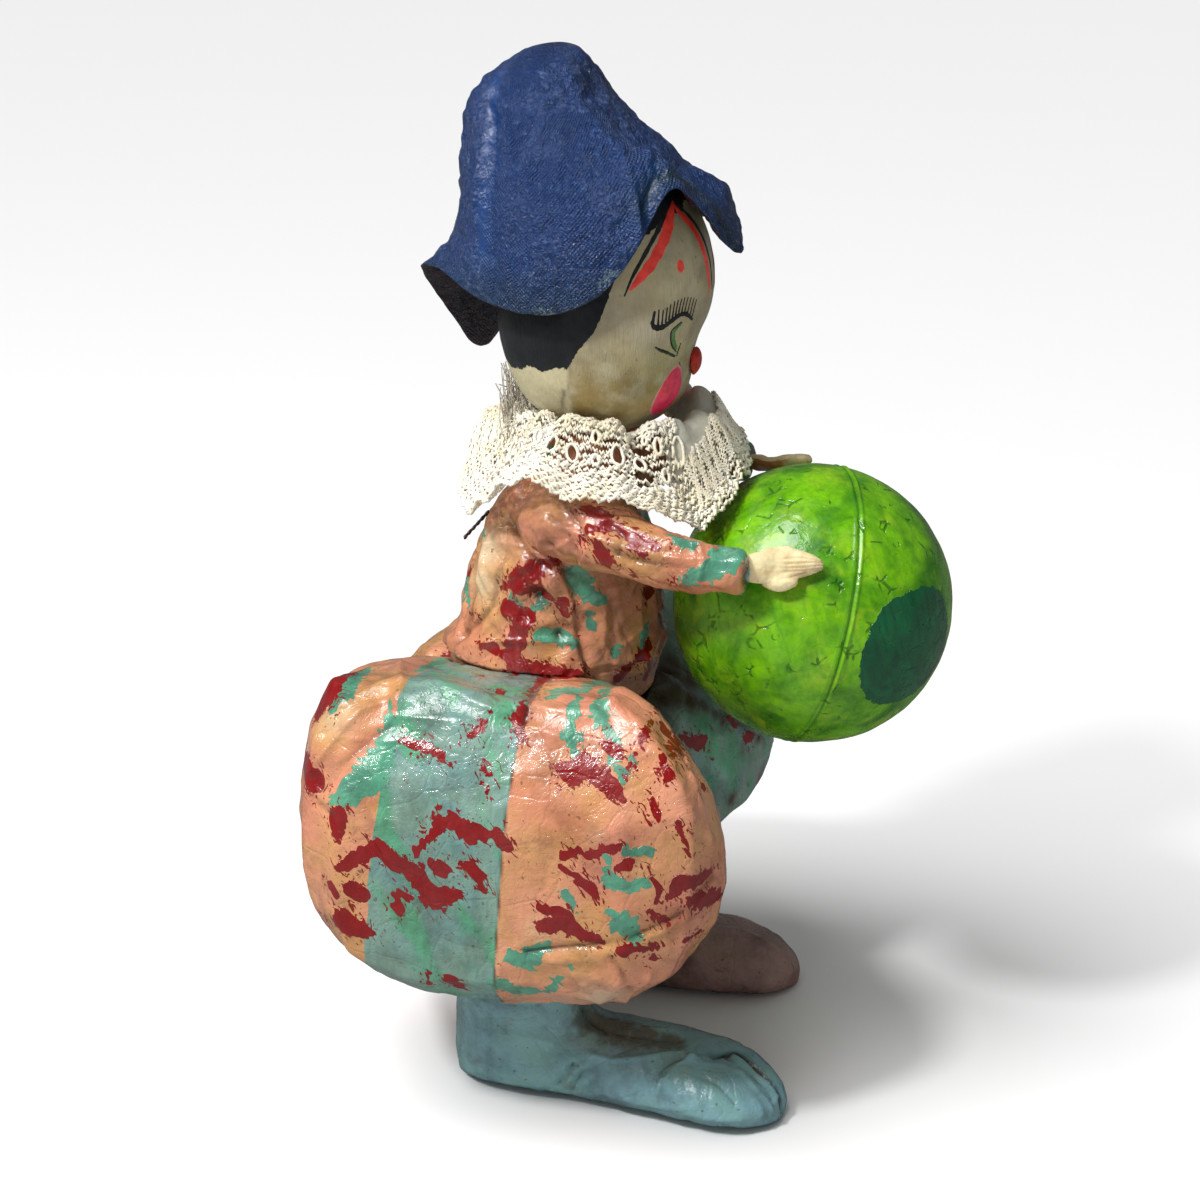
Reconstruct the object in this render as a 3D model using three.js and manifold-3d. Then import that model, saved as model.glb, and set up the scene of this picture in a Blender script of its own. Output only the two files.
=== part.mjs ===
// A papier-mache clown that holds a big ball: draped hat, egg-shaped head, lace collar, paper jacket,
// two balloon trouser legs and two long shoes. Millimetres, +Z up, the clown faces +X, its left is +Y.
import * as THREE from "three";
import { mergeVertices } from "three/addons/utils/BufferGeometryUtils.js";
import Module from "manifold-3d";

const wasm = await Module();
wasm.setup();

// ---- Driving dimensions -------------------------------------------------------------------------

const GAP = 0.35; // glue line left between pieces that touch

const BALL = { radius: 38.1, centre: [58.6, 0, 136.6] }; // a 3 inch craft ball
const HEAD = { centre: [1.5, 0, 220], depth: 28.5, width: 28, up: 42, down: 37 };
const NOSE = { centre: [24, 0, 202.5], size: [3.4, 4.2, 4.6] };
const HAT_WALL = 1.8;
const COLLAR = { centre: [2, 0], neckRadius: 17, neckHeight: 185, thickness: 1.8 };
const TORSO_BASE = 104;
const TROUSER = { centre: [-16, 39, 78], midGap: 0.2 };
const SHOE = { length: 94, heelX: { right: -33.5, left: -40 }, spread: 29, toeOut: 6, ankleTop: 46 };
const ANKLE = { depth: [21, 17.5], width: [14.5, 15.5], middle: [19.5, 16.5], bottom: 6 };
const WIRE = { radius: 0.6, from: [-23, -6, 164], to: [-36, -9, 151.5] };

// ---- Shaping helpers ----------------------------------------------------------------------------

const smooth = (t) => t * t * (3 - 2 * t);
const bell = (distance, width) => Math.exp(-((distance / width) ** 2));
const lerp = THREE.MathUtils.lerp;

// Reads a list of [position, value, value...] along a line, on a smooth curve through the entries.
function readAlong(stops, position) {
  const last = stops.length - 1;
  const next = stops.findIndex((stop) => stop[0] >= position);
  const i = next < 0 ? last - 1 : Math.max(next - 1, 0);
  const [p0, p1, p2, p3] = [Math.max(i - 1, 0), i, i + 1, Math.min(i + 2, last)].map((k) => stops[k]);
  const t = THREE.MathUtils.clamp((position - p1[0]) / (p2[0] - p1[0]), 0, 1);
  const slope = (a, b, k) => (b[0] === a[0] ? 0 : ((b[k] - a[k]) / (b[0] - a[0])) * (p2[0] - p1[0]));
  return p1.slice(1).map((value, n) => {
    const k = n + 1;
    const [m1, m2] = [slope(p0, p2, k), slope(p1, p3, k)];
    const [t2, t3] = [t * t, t * t * t];
    const atStart = (2 * t3 - 3 * t2 + 1) * value + (t3 - 2 * t2 + t) * m1;
    return atStart + (3 * t2 - 2 * t3) * p2[k] + (t3 - t2) * m2;
  });
}

// The same for a list of [angle in degrees, value, value...] that runs round a circle.
function readAround(stops, radians) {
  const angle = THREE.MathUtils.euclideanModulo(THREE.MathUtils.radToDeg(radians), 360);
  const turned = (turn) => stops.map(([degrees, ...values]) => [degrees + turn, ...values]);
  return readAlong([...turned(-360), ...stops, ...turned(360)], angle);
}

// A closed geometry as a solid for cutting and joining, its faces turned outwards.
function solidOf(geometry) {
  const bare = geometry.clone();
  bare.deleteAttribute("normal");
  bare.deleteAttribute("uv");
  const merged = mergeVertices(bare, 1e-3);
  const positions = merged.attributes.position.array;
  const build = (triVerts) => {
    return new wasm.Manifold(new wasm.Mesh({ numProp: 3, vertProperties: positions, triVerts }));
  };
  const kept = [];
  for (let i = 0; i < merged.index.count; i += 3) {
    const [a, b, c] = merged.index.array.slice(i, i + 3);
    if (a !== b && b !== c && c !== a) kept.push(a, b, c);
  }
  const triangles = new Uint32Array(kept);
  const made = build(triangles);
  return made.volume() > 0 ? made : build(triangles.reverse());
}

// The largest body of a solid: a cut may leave slivers, which aren't part of the piece.
function mainBody(solid) {
  return solid.decompose().reduce((a, b) => (a.volume() > b.volume() ? a : b));
}

function meshOf(name, solid, material) {
  const { numProp, numVert, vertProperties, triVerts } = solid.getMesh();
  const positions = new Float32Array(numVert * 3);
  for (let i = 0; i < numVert; i++) {
    positions.set(vertProperties.subarray(i * numProp, i * numProp + 3), i * 3);
  }
  const geometry = new THREE.BufferGeometry();
  geometry.setAttribute("position", new THREE.BufferAttribute(positions, 3));
  geometry.setIndex(new THREE.BufferAttribute(new Uint32Array(triVerts), 1));
  geometry.computeVertexNormals();
  const mesh = new THREE.Mesh(geometry, material);
  mesh.name = name;
  return mesh;
}

// A turned form bent out of round. place(t, angle) puts the point at step t of the profile, 0 to 1, and
// at an angle round it. A profile that isn't a loop starts and ends on the form's own line.
function bentLathe(steps, segments, place, isLoop = false) {
  const profile = Array.from({ length: steps + 1 }, (_, j) => {
    const onAxis = !isLoop && (j === 0 || j === steps);
    return new THREE.Vector2(onAxis ? 0 : 1, isLoop ? j % steps : j);
  });
  const geometry = new THREE.LatheGeometry(profile, segments);
  const position = geometry.attributes.position;
  for (let i = 0; i <= segments; i++) {
    for (let j = 0; j <= steps; j++) {
      const t = (isLoop ? j % steps : j) / steps;
      const atEnd = !isLoop && (j === 0 || j === steps);
      const point = place(t, atEnd ? 0 : ((i % segments) / segments) * 2 * Math.PI);
      position.setXYZ(i * (steps + 1) + j, ...point);
    }
  }
  return solidOf(geometry);
}

// A sphere pulled into another form, with its poles above and below. place(direction) gives the point
// for each unit direction.
function bentSphere(segments, rings, place) {
  const geometry = new THREE.SphereGeometry(1, segments, rings).rotateX(Math.PI / 2);
  const position = geometry.attributes.position;
  for (let i = 0; i < position.count; i++) {
    const direction = new THREE.Vector3().fromBufferAttribute(position, i).normalize();
    position.setXYZ(i, ...place(direction));
  }
  return solidOf(geometry);
}

// How far out a rounded box of the given half sizes reaches in a direction; a higher power is boxier.
function roundedReach(direction, [a, b, c], power) {
  const share = Math.abs(direction.x / a) ** power + Math.abs(direction.y / b) ** power;
  return (share + Math.abs(direction.z / c) ** power) ** (-1 / power);
}

// ---- The ball and what holds it -----------------------------------------------------------------

const ballCentre = new THREE.Vector3(...BALL.centre);

function ballSolid(margin = 0, segments = 28) {
  const geometry = new THREE.SphereGeometry(BALL.radius + margin, segments, Math.round(segments * 0.6));
  return solidOf(geometry.rotateX(Math.PI / 2).translate(...BALL.centre));
}

// Each arm: the sleeve's middle line with its radius, and where the hand starts and ends on the ball.
const ARMS = {
  right: {
    sleeve: [
      [-9, -22, 165, 10.5], [4, -31, 163.5, 9.8], [20, -37, 160.5, 8.2], [34, -39, 158.5, 7],
      [45, -38.5, 158, 5.6],
    ],
    wrist: [47, -37.5, 158.2],
    tip: [65, -31, 157.6],
    thumb: [54.5, -36.6, 154.8],
    lift: 2.2,
  },
  left: {
    sleeve: [
      [-9, 22, 165, 10.5], [3, 29, 165.5, 9.4], [15, 32.5, 166, 8], [26, 33, 166, 6.4],
      [35.5, 31.3, 165.8, 5],
    ],
    wrist: [37.2, 30.6, 165.4],
    tip: [54.4, 24, 170.4],
    thumb: [46, 34, 164],
    lift: 3.2,
  },
};
const SLEEVE_CAP = 6; // how far a sleeve's rounded shoulder end stands back from its first point
// The two rings that round the shoulder end: [share of the radius, share of SLEEVE_CAP].
const CAP_RINGS = [[0, 1], [0.75, 0.62]];
const FOUR_SIDED = 0.04; // how much the folded sleeve bulges towards four sides

// The line down the middle of a form, as a curve, with a frame of two directions across it.
function middleLine(points) {
  const curve = new THREE.CatmullRomCurve3(points.map(([x, y, z]) => new THREE.Vector3(x, y, z)));
  return (t) => {
    const tangent = curve.getTangent(t);
    const side = new THREE.Vector3(0, 0, 1).cross(tangent).normalize();
    return { point: curve.getPoint(t), tangent, side, up: tangent.clone().cross(side) };
  };
}

function sleeveSolid(arm, margin = 0) {
  const line = middleLine(arm.sleeve);
  const radii = arm.sleeve.map((point, i) => [i / (arm.sleeve.length - 1), point[3] + margin]);
  const steps = 12;
  return bentLathe(steps, 12, (t, angle) => {
    const along = THREE.MathUtils.clamp((t * steps - 2) / (steps - 3), 0, 1);
    const { point, side, up, tangent } = line(along);
    const [open, back] = CAP_RINGS[Math.round(t * steps)] ?? [t === 1 ? 0 : 1, 0];
    const radius = readAlong(radii, along)[0] * open * (1 + FOUR_SIDED * Math.cos(4 * angle));
    return point
      .addScaledVector(tangent, -back * SLEEVE_CAP + (t === 1 ? margin : 0))
      .addScaledVector(side, radius * Math.cos(angle))
      .addScaledVector(up, radius * Math.sin(angle));
  });
}

// A cupped hand that follows the ball: [share of length, half width, half thickness, bulge upwards].
const HAND_SECTIONS = [
  [0, 3.6, 2.8, 0], [0.2, 4.8, 2.8, 0.6], [0.45, 5.2, 2.6, 1.4], [0.7, 4.4, 2.2, 1.2], [0.88, 3.1, 1.8, 0.5],
  [1, 1.6, 1.2, 0],
];
const THUMB = [5.6, 2.4, 2.3]; // half sizes

function handSolid(arm) {
  const from = new THREE.Vector3(...arm.wrist).sub(ballCentre);
  const to = new THREE.Vector3(...arm.tip).sub(ballCentre);
  const steps = 12;
  const palm = bentLathe(steps, 10, (t, angle) => {
    const along = THREE.MathUtils.clamp((t * steps - 1) / (steps - 2), 0, 1);
    const outward = from.clone().lerp(to, along);
    const distance = lerp(from.length(), BALL.radius + arm.lift, smooth(Math.min(1, along * 2)));
    outward.normalize();
    const forward = to.clone().sub(from).projectOnPlane(outward).normalize();
    const across = outward.clone().cross(forward);
    const [width, thickness, bulge] = readAlong(HAND_SECTIONS, along);
    const open = t === 0 || t === 1 ? 0 : 1;
    return ballCentre
      .clone()
      .addScaledVector(outward, distance + open * thickness * Math.sin(angle))
      .addScaledVector(across, open * width * Math.cos(angle) + bulge * Math.sign(across.z));
  });
  const thumb = bentSphere(8, 6, (d) => [
    arm.thumb[0] + THUMB[0] * d.x,
    arm.thumb[1] + THUMB[1] * d.y,
    arm.thumb[2] + THUMB[2] * d.z,
  ]);
  return palm.add(thumb);
}

// ---- Jacket -------------------------------------------------------------------------------------

// [height, middle x, half depth, half width]
const TORSO_SECTIONS = [
  [TORSO_BASE, -12, 24, 25], [112, -12, 28.5, 28.5], [117, -13, 30.5, 29.5], [124, -11.5, 28, 28],
  [138, -10, 27.5, 27], [151, -9.5, 24, 27], [160, -8.5, 20.5, 25.5], [168, -6, 16, 19], [174, -3, 12.5, 13],
  [182.4, -1, 10.5, 11],
];

const HEM_PLEATS = { count: 7, turn: 1, depth: 0.025, height: 117, reach: 9 }; // the jacket's wavy hem

function torsoSolid(margin = 0) {
  const top = TORSO_SECTIONS[TORSO_SECTIONS.length - 1][0];
  const steps = 13;
  return bentLathe(steps, 20, (t, angle) => {
    const rise = THREE.MathUtils.clamp((t * steps - 1) / (steps - 2), 0, 1);
    const height = lerp(TORSO_BASE, top, rise);
    const [middle, depth, width] = readAlong(TORSO_SECTIONS, height);
    const open = t === 0 || t === 1 ? 0 : 1;
    const wave = HEM_PLEATS.depth * Math.cos(HEM_PLEATS.count * angle + HEM_PLEATS.turn);
    const pleat = 1 + wave * bell(height - HEM_PLEATS.height, HEM_PLEATS.reach);
    return [
      middle + open * (depth + margin) * pleat * Math.cos(angle),
      open * (width + margin) * pleat * Math.sin(angle),
      height + (t > 0.5 ? margin : -margin) * (rise === 0 || rise === 1 ? 1 : 0),
    ];
  });
}

// ---- Trousers and shoes -------------------------------------------------------------------------

// The faces that the paper is pulled into: [azimuth from the front, elevation, distance from the middle].
const LEG_FACES = {
  right: [
    [90, 76, 44.5], [176, 37, 71], [150, 60, 61], [190, 11, 58.4], [194, -5, 57.5], [206, -28, 56.5],
    [222, -54, 49], [-90, -85, 41.5], [-19, -54, 53], [-4, -32, 59], [8, -6, 59.5], [19, 19, 55],
    [33, 45, 50], [-90, 0, 38.5], [-90, 32, 44.5], [-90, -48, 45], [-45, -4, 61], [-133, 3, 60],
    [90, 0, 40], [138, 0, 60], [45, -5, 59], [90, -50, 46],
  ],
  left: [
    [-90, 76, 42], [178, 37, 51], [150, 60, 42.5], [180, 2, 55], [168, -28, 57], [150, -54, 51],
    [90, -85, 42], [-16, -52, 47], [-4, -38, 55], [5, -19, 61.5], [14, 2, 61.5], [-15, 19, 57],
    [-15, 45, 51], [90, 0, 38.5], [90, 32, 42], [90, -48, 45], [48, -4, 57], [133, 3, 58],
    [-90, 0, 40], [-135, 0, 57], [-45, -5, 59], [-90, -50, 46],
  ],
};
// Knots and pinches in the paper: [azimuth, elevation, height, width as an angle in radians].
const LEG_KNOTS = {
  right: [[-9, 52, 4, 0.2], [-62, 70, -3.5, 0.22], [-100, 58, 2, 0.25], [-60, -40, -2, 0.3]],
  left: [[12, 50, 4, 0.2], [62, 68, -3, 0.22], [60, -40, -2, 0.3]],
};
const FOLD_SHARPNESS = 18;
const HALF_ROOM = { length: 300, width: 100 }; // the half of space that a leg may take up

function directionOf(azimuth, elevation) {
  const [turn, lift] = [azimuth, elevation].map(THREE.MathUtils.degToRad);
  return new THREE.Vector3(Math.cos(turn) * Math.cos(lift), Math.sin(turn) * Math.cos(lift), Math.sin(lift));
}

function trouserSolid(side) {
  const sign = side === "right" ? -1 : 1;
  const [x, y, z] = TROUSER.centre;
  const faces = LEG_FACES[side].map((face) => directionOf(face[0], face[1]).divideScalar(face[2]));
  const knots = LEG_KNOTS[side].map(([azimuth, elevation, height, width]) => {
    return { place: directionOf(azimuth, elevation), height, width };
  });
  const balloon = bentSphere(24, 16, (d) => {
    const pull = faces.reduce((sum, face) => sum + Math.max(0, face.dot(d)) ** FOLD_SHARPNESS, 0);
    const heights = knots.map((knot) => knot.height * bell(knot.place.angleTo(d), knot.width));
    const knotted = heights.reduce((sum, height) => sum + height, 0);
    const reach = pull ** (-1 / FOLD_SHARPNESS) + knotted;
    return [x + reach * d.x, sign * y + reach * d.y, z + reach * d.z];
  });
  const room = new THREE.BoxGeometry(HALF_ROOM.length, HALF_ROOM.width, HALF_ROOM.length);
  room.translate(0, sign * (HALF_ROOM.width / 2 + TROUSER.midGap), z);
  const half = balloon.intersect(solidOf(room));
  return mainBody(half.subtract(torsoSolid(GAP)).subtract(shoeSolid(side, GAP)));
}

// The foot: [share of length, half width, top height, half width of the flat sole]
const SHOE_SECTIONS = [
  [0, 6, 10, 5], [0.05, 11.5, 18, 9.5], [0.2, 15, 22, 12], [0.42, 14, 22, 11], [0.62, 16, 20.5, 12.5],
  [0.8, 17.5, 18, 14], [0.92, 14.5, 13.5, 11], [0.98, 8.5, 9.5, 6.5], [1, 4, 7, 3],
];

const WIDEST = 0.42; // share of the shoe's height at which it is widest

function shoeSolid(side, margin = 0) {
  const sign = side === "right" ? -1 : 1;
  const steps = 12;
  const foot = bentLathe(steps, 16, (t, angle) => {
    const share = THREE.MathUtils.clamp((t * steps - 1) / (steps - 2), 0, 1);
    const along = lerp(share, smooth(share), 0.7); // sections closer together at heel and toe
    const [width, top, sole] = readAlong(SHOE_SECTIONS, along);
    const open = t === 0 || t === 1 ? 0 : 1;
    const [across, rise] = [Math.cos(angle), Math.sin(angle)];
    const shelf = Math.sign(across) * Math.abs(across) ** 0.8;
    const middle = top * WIDEST;
    const height = rise >= 0 ? middle + (top - middle) * rise : middle * (1 - Math.abs(rise) ** 0.6);
    const reach = rise >= 0 ? width : lerp(width, sole, Math.abs(rise) ** 2);
    const flat = rise < -0.8 ? 0 : height;
    return [along * SHOE.length, open * shelf * reach, open ? flat : middle];
  });
  const rings = 5;
  const ankle = bentLathe(rings, 16, (t, angle) => {
    const rise = THREE.MathUtils.clamp((t * rings - 1) / (rings - 2), 0, 1);
    const open = t === 0 || t === 1 ? 0 : 1;
    const depth = lerp(...ANKLE.depth, smooth(rise)) + margin;
    const width = lerp(...ANKLE.width, rise) + margin;
    const height = lerp(ANKLE.bottom, SHOE.ankleTop + margin, rise);
    const middle = lerp(...ANKLE.middle, rise);
    return [middle + open * depth * Math.cos(angle), open * width * Math.sin(angle), height];
  });
  const turn = THREE.MathUtils.degToRad(SHOE.toeOut * sign);
  const placed = new THREE.Matrix4().makeRotationZ(turn).setPosition(SHOE.heelX[side], sign * SHOE.spread, 0);
  return foot.add(ankle).transform(placed.toArray());
}

// ---- Head, nose and hat -------------------------------------------------------------------------

const BROW = { height: 233, reach: 12, depth: 1.6 };
const EYES = { height: 205, reach: 7.5, depth: -4.6 };

function headPoint(d, margin = 0) {
  const [x, y, z] = HEAD.centre;
  const size = [HEAD.depth, HEAD.width, d.z > 0 ? HEAD.up : HEAD.down].map((half) => half + margin);
  const reach = roundedReach(d, size, d.z > 0 ? 1.9 : 2.4);
  const height = z + reach * d.z;
  const front = Math.max(0, d.x) ** 1.5;
  const modelled = [BROW, EYES].map((form) => form.depth * bell(height - form.height, form.reach));
  return [x + reach * d.x + front * (modelled[0] + modelled[1]), y + reach * d.y, height];
}

function headSolid(margin = 0) {
  const skull = bentSphere(26, 18, (d) => headPoint(d, margin));
  return margin ? skull : skull.subtract(torsoSolid(GAP));
}

function noseSolid() {
  const bead = solidOf(new THREE.SphereGeometry(1, 12, 8).scale(...NOSE.size).translate(...NOSE.centre));
  return mainBody(bead.subtract(headSolid(GAP)));
}

// The brim's folds: [angle from the front, reach from the hat's line, height of its edge].
const BRIM_FOLDS = [
  [8, 39, 233], [22, 38, 236], [52, 35, 233], [85, 36, 224], [118, 38, 216], [150, 43, 191], [165, 45, 203],
  [180, 49, 221], [200, 44, 227], [233, 36.5, 220], [251, 36, 218], [270, 34.5, 219], [284, 34, 224],
  [296, 34.5, 232], [307, 33, 242], [317, 32, 252.5], [327, 33.5, 249], [338, 36.5, 238], [352, 41, 229.5],
];
// The crown from its top down: [share of the way, reach, height, x of the hat's line, rise to the front,
// share of a raised brim's lift that it takes up].
const CROWN = [
  [0, 0, 284, -13, 0, 0], [0.1, 7, 283, -14.5, 1, 0], [0.2, 12.5, 279, -15, 2, 0],
  [0.35, 18.5, 270, -15, 0, 0.05], [0.55, 26.5, 257, -9, 0, 0.2], [0.8, 34, 240, -3.5, 5, 0.68],
];
const BRIM_LEVEL = 228; // the brim is raised where its edge is above this
const CROWN_TAPER = 0.36; // how much the crown narrows for each millimetre that it is raised
// Folds that run down the crown: [angle from the front, how far they stand out].
const FLUTES = [
  [0, 0.4], [18, 0.6], [40, -0.5], [75, 0.7], [105, -0.4], [140, 0.8], [165, -0.6], [190, 0.9], [209, -1],
  [226, 1.1], [240, 0], [262, 0.1], [283, 0.4], [298, -0.5], [315, 1.2], [334, -0.7], [348, 0.3],
];
const FLUTE_DEPTH = 1.3;
const HEM_ROLL = 1.4; // extra thickness of the rolled edge of the brim
const HEM_SHARE = 0.08; // how much of the way down the roll takes up

const HAT_SPACING = 0.9; // below 1, rings lie closer together towards the brim

function hatPoint(down, angle, inward) {
  const [brimReach, brimHeight] = readAround(BRIM_FOLDS, angle);
  const lift = Math.max(0, brimHeight - BRIM_LEVEL);
  const crown = CROWN.map(([share, reach, height, middle, rise, follow]) => [
    share, reach - CROWN_TAPER * follow * lift, height + follow * lift + rise * Math.cos(angle), middle,
  ]);
  const line = [...crown, [1, brimReach, brimHeight, -1]];
  const at = (t) => readAlong(line, THREE.MathUtils.clamp(t, 0, 1));
  const [reach, height, middle] = at(down);
  const [reachOn, heightOn] = at(down + 0.01);
  const [reachBack, heightBack] = at(down - 0.01);
  const slope = new THREE.Vector2(heightBack - heightOn, reachOn - reachBack).normalize();
  const fading = smooth(Math.min(1, down * 3)) * (1 - 0.5 * down);
  const flute = FLUTE_DEPTH * readAround(FLUTES, angle)[0] * fading;
  const roll = HEM_ROLL * bell(1 - down, HEM_SHARE);
  const offset = inward * (HAT_WALL + roll) - 0.5 * roll;
  const out = Math.max(0, reach + flute - offset * slope.x);
  return [middle + out * Math.cos(angle), out * Math.sin(angle), height - offset * slope.y];
}

function hatSolid() {
  const shell = bentLathe(24, 38, (t, angle) => {
    const outside = t <= 0.5;
    const down = outside ? t * 2 : (1 - t) * 2;
    return hatPoint(down ** HAT_SPACING, angle, outside ? 0 : 1);
  });
  return mainBody(shell.subtract(headSolid(GAP)));
}

// ---- Lace collar and the wire that ties it ------------------------------------------------------

// The ruffle's edge: [angle from the front, reach, height].
const RUFFLE = [
  [8, 39, 172], [30, 38, 179], [55, 38, 171], [82, 39, 177], [112, 39, 168], [140, 40, 179], [165, 38, 182],
  [186, 40, 169], [212, 40, 163], [250, 42, 179], [272, 42.5, 174.5], [287, 42.5, 176], [304, 43, 169],
  [322, 42, 166], [342, 40, 171],
];
const RUFFLE_ARCH = 4; // how far the ruffle arches up before it falls to its edge

function ringPoint(step, steps, angle) {
  const [x, y] = COLLAR.centre;
  const isTop = step < steps / 2;
  const out = (isTop ? step : steps - 1 - step) / (steps / 2 - 1);
  const [edgeReach, edgeHeight] = readAround(RUFFLE, angle);
  const reach = lerp(COLLAR.neckRadius, edgeReach, out);
  const arch = RUFFLE_ARCH * Math.sin(Math.PI * out) * (1 - out);
  const height = lerp(COLLAR.neckHeight, edgeHeight, smooth(out)) + arch;
  const face = (isTop ? 0.5 : -0.5) * COLLAR.thickness;
  return [x + reach * Math.cos(angle), y + reach * Math.sin(angle), height + face];
}

function collarSolid() {
  const steps = 8;
  return bentLathe(steps, 72, (t, angle) => ringPoint(Math.round(t * steps), steps, angle), true);
}

function wireSolid() {
  const path = new THREE.LineCurve3(new THREE.Vector3(...WIRE.from), new THREE.Vector3(...WIRE.to));
  const section = new THREE.Shape().absarc(0, 0, WIRE.radius, 0, 2 * Math.PI);
  const options = { steps: 1, curveSegments: 4, bevelEnabled: false, extrudePath: path };
  return solidOf(new THREE.ExtrudeGeometry(section, options));
}

// ---- The figure ---------------------------------------------------------------------------------

const finish = (color, roughness) => new THREE.MeshStandardMaterial({ color, roughness, metalness: 0 });
const MATERIALS = {
  blueCloth: finish(0x23447c, 0.55),
  facePaint: finish(0xc9bfa0, 0.35),
  redPaint: finish(0xd8381f, 0.3),
  lace: finish(0xddd6c2, 0.9),
  saltPaper: finish(0xd99a78, 0.35),
  handPaint: finish(0xdcc79c, 0.5),
  greenPaint: finish(0x63a512, 0.3),
  aquaPaint: finish(0x6d9a9c, 0.3),
  plumPaint: finish(0x6a5351, 0.35),
  steel: finish(0x55524e, 0.4),
};

const SHOE_PAINT = { right: MATERIALS.aquaPaint, left: MATERIALS.plumPaint };

const keepOff = ballSolid(GAP);
const pieces = [
  ["hat", hatSolid(), MATERIALS.blueCloth],
  ["head", headSolid(), MATERIALS.facePaint],
  ["nose", noseSolid(), MATERIALS.redPaint],
  ["torso", torsoSolid(), MATERIALS.saltPaper],
  ["ball", ballSolid(), MATERIALS.greenPaint],
];
let collar = collarSolid().subtract(keepOff).subtract(headSolid(GAP)).subtract(torsoSolid(GAP));
for (const side of ["right", "left"]) {
  const arm = ARMS[side];
  const sleeve = mainBody(sleeveSolid(arm).subtract(torsoSolid(GAP)).subtract(keepOff));
  const hand = mainBody(handSolid(arm).subtract(sleeveSolid(arm, GAP)).subtract(keepOff));
  collar = collar.subtract(sleeveSolid(arm, GAP));
  pieces.push([`${side}_sleeve`, sleeve, MATERIALS.saltPaper]);
  pieces.push([`${side}_hand`, hand, MATERIALS.handPaint]);
  pieces.push([`${side}_trouser_leg`, trouserSolid(side), MATERIALS.saltPaper]);
  pieces.push([`${side}_shoe`, shoeSolid(side), SHOE_PAINT[side]]);
}
pieces.push(["collar", mainBody(collar), MATERIALS.lace]);
pieces.push(["collar_wire", mainBody(wireSolid().subtract(torsoSolid(GAP))), MATERIALS.steel]);

const figure = new THREE.Group();
for (const [name, solid, material] of pieces) {
  figure.add(meshOf(name, solid, material));
}

// The origin goes to the middle of the figure's footprint, on the surface that it stands on.
const box = new THREE.Box3().setFromObject(figure);
const middle = box.getCenter(new THREE.Vector3());
figure.position.set(-middle.x, -middle.y, -box.min.z);

export default figure;
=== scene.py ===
"""The looks of a papier-mache clown that holds a big ball.

The solids of the frame give every place and size. Each operator makes one piece, or a group of like pieces,
as a finer mesh over its solid, and paints it. Lengths are millimetres in here, and metres in the meshes.
"""

import math

import bmesh
import bpy
import numpy as np
from bpy.props import FloatProperty, FloatVectorProperty, IntProperty, PointerProperty
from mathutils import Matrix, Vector, noise
from mathutils.bvhtree import BVHTree


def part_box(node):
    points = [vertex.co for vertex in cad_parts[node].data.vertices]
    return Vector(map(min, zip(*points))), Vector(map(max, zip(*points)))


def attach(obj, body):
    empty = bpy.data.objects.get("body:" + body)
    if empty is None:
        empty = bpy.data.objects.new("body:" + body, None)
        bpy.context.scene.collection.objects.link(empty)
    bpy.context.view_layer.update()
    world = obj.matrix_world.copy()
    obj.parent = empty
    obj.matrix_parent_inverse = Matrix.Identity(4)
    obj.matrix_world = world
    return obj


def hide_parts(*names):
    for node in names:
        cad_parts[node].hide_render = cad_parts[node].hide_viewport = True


bl_info = {
    "name": "Papier-mache Clown",
    "version": (1, 0, 0),
    "blender": (4, 5, 0),
    "location": "3D View > Sidebar > Clown",
    "description": "Models and paints a papier-mache clown that holds a ball",
    "category": "Object",
}

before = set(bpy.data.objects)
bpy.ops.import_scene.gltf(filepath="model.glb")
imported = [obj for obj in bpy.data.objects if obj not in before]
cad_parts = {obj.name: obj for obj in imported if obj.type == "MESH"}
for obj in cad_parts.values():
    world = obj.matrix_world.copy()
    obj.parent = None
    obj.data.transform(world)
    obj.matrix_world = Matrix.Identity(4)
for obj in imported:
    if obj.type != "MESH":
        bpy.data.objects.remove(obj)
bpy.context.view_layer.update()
MM = 0.001
UP = Vector((0, 0, 1))
OUTSIDE = -9.0  # what a painted mark's measure reads far outside the mark
NOISE_GAIN = 1.6  # brings Blender's soft noise to a reach of about -1 to 1


def box_of(node):
    """A solid's lowest and highest corners, in millimetres."""
    return [np.array(corner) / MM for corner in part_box(node)]


BALL_LOW, BALL_HIGH = box_of("ball")
BALL_CENTRE = (BALL_LOW + BALL_HIGH) / 2
BALL_RADIUS = float((BALL_HIGH - BALL_LOW)[2] / 2)
HEAD_CENTRE = sum(box_of("head")) / 2


# ---- What a user would change -------------------------------------------------------------------


def colour(name, description, default):
    return FloatVectorProperty(
        name=name, description=description, default=default, subtype="COLOR", min=0, max=1
    )


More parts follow.
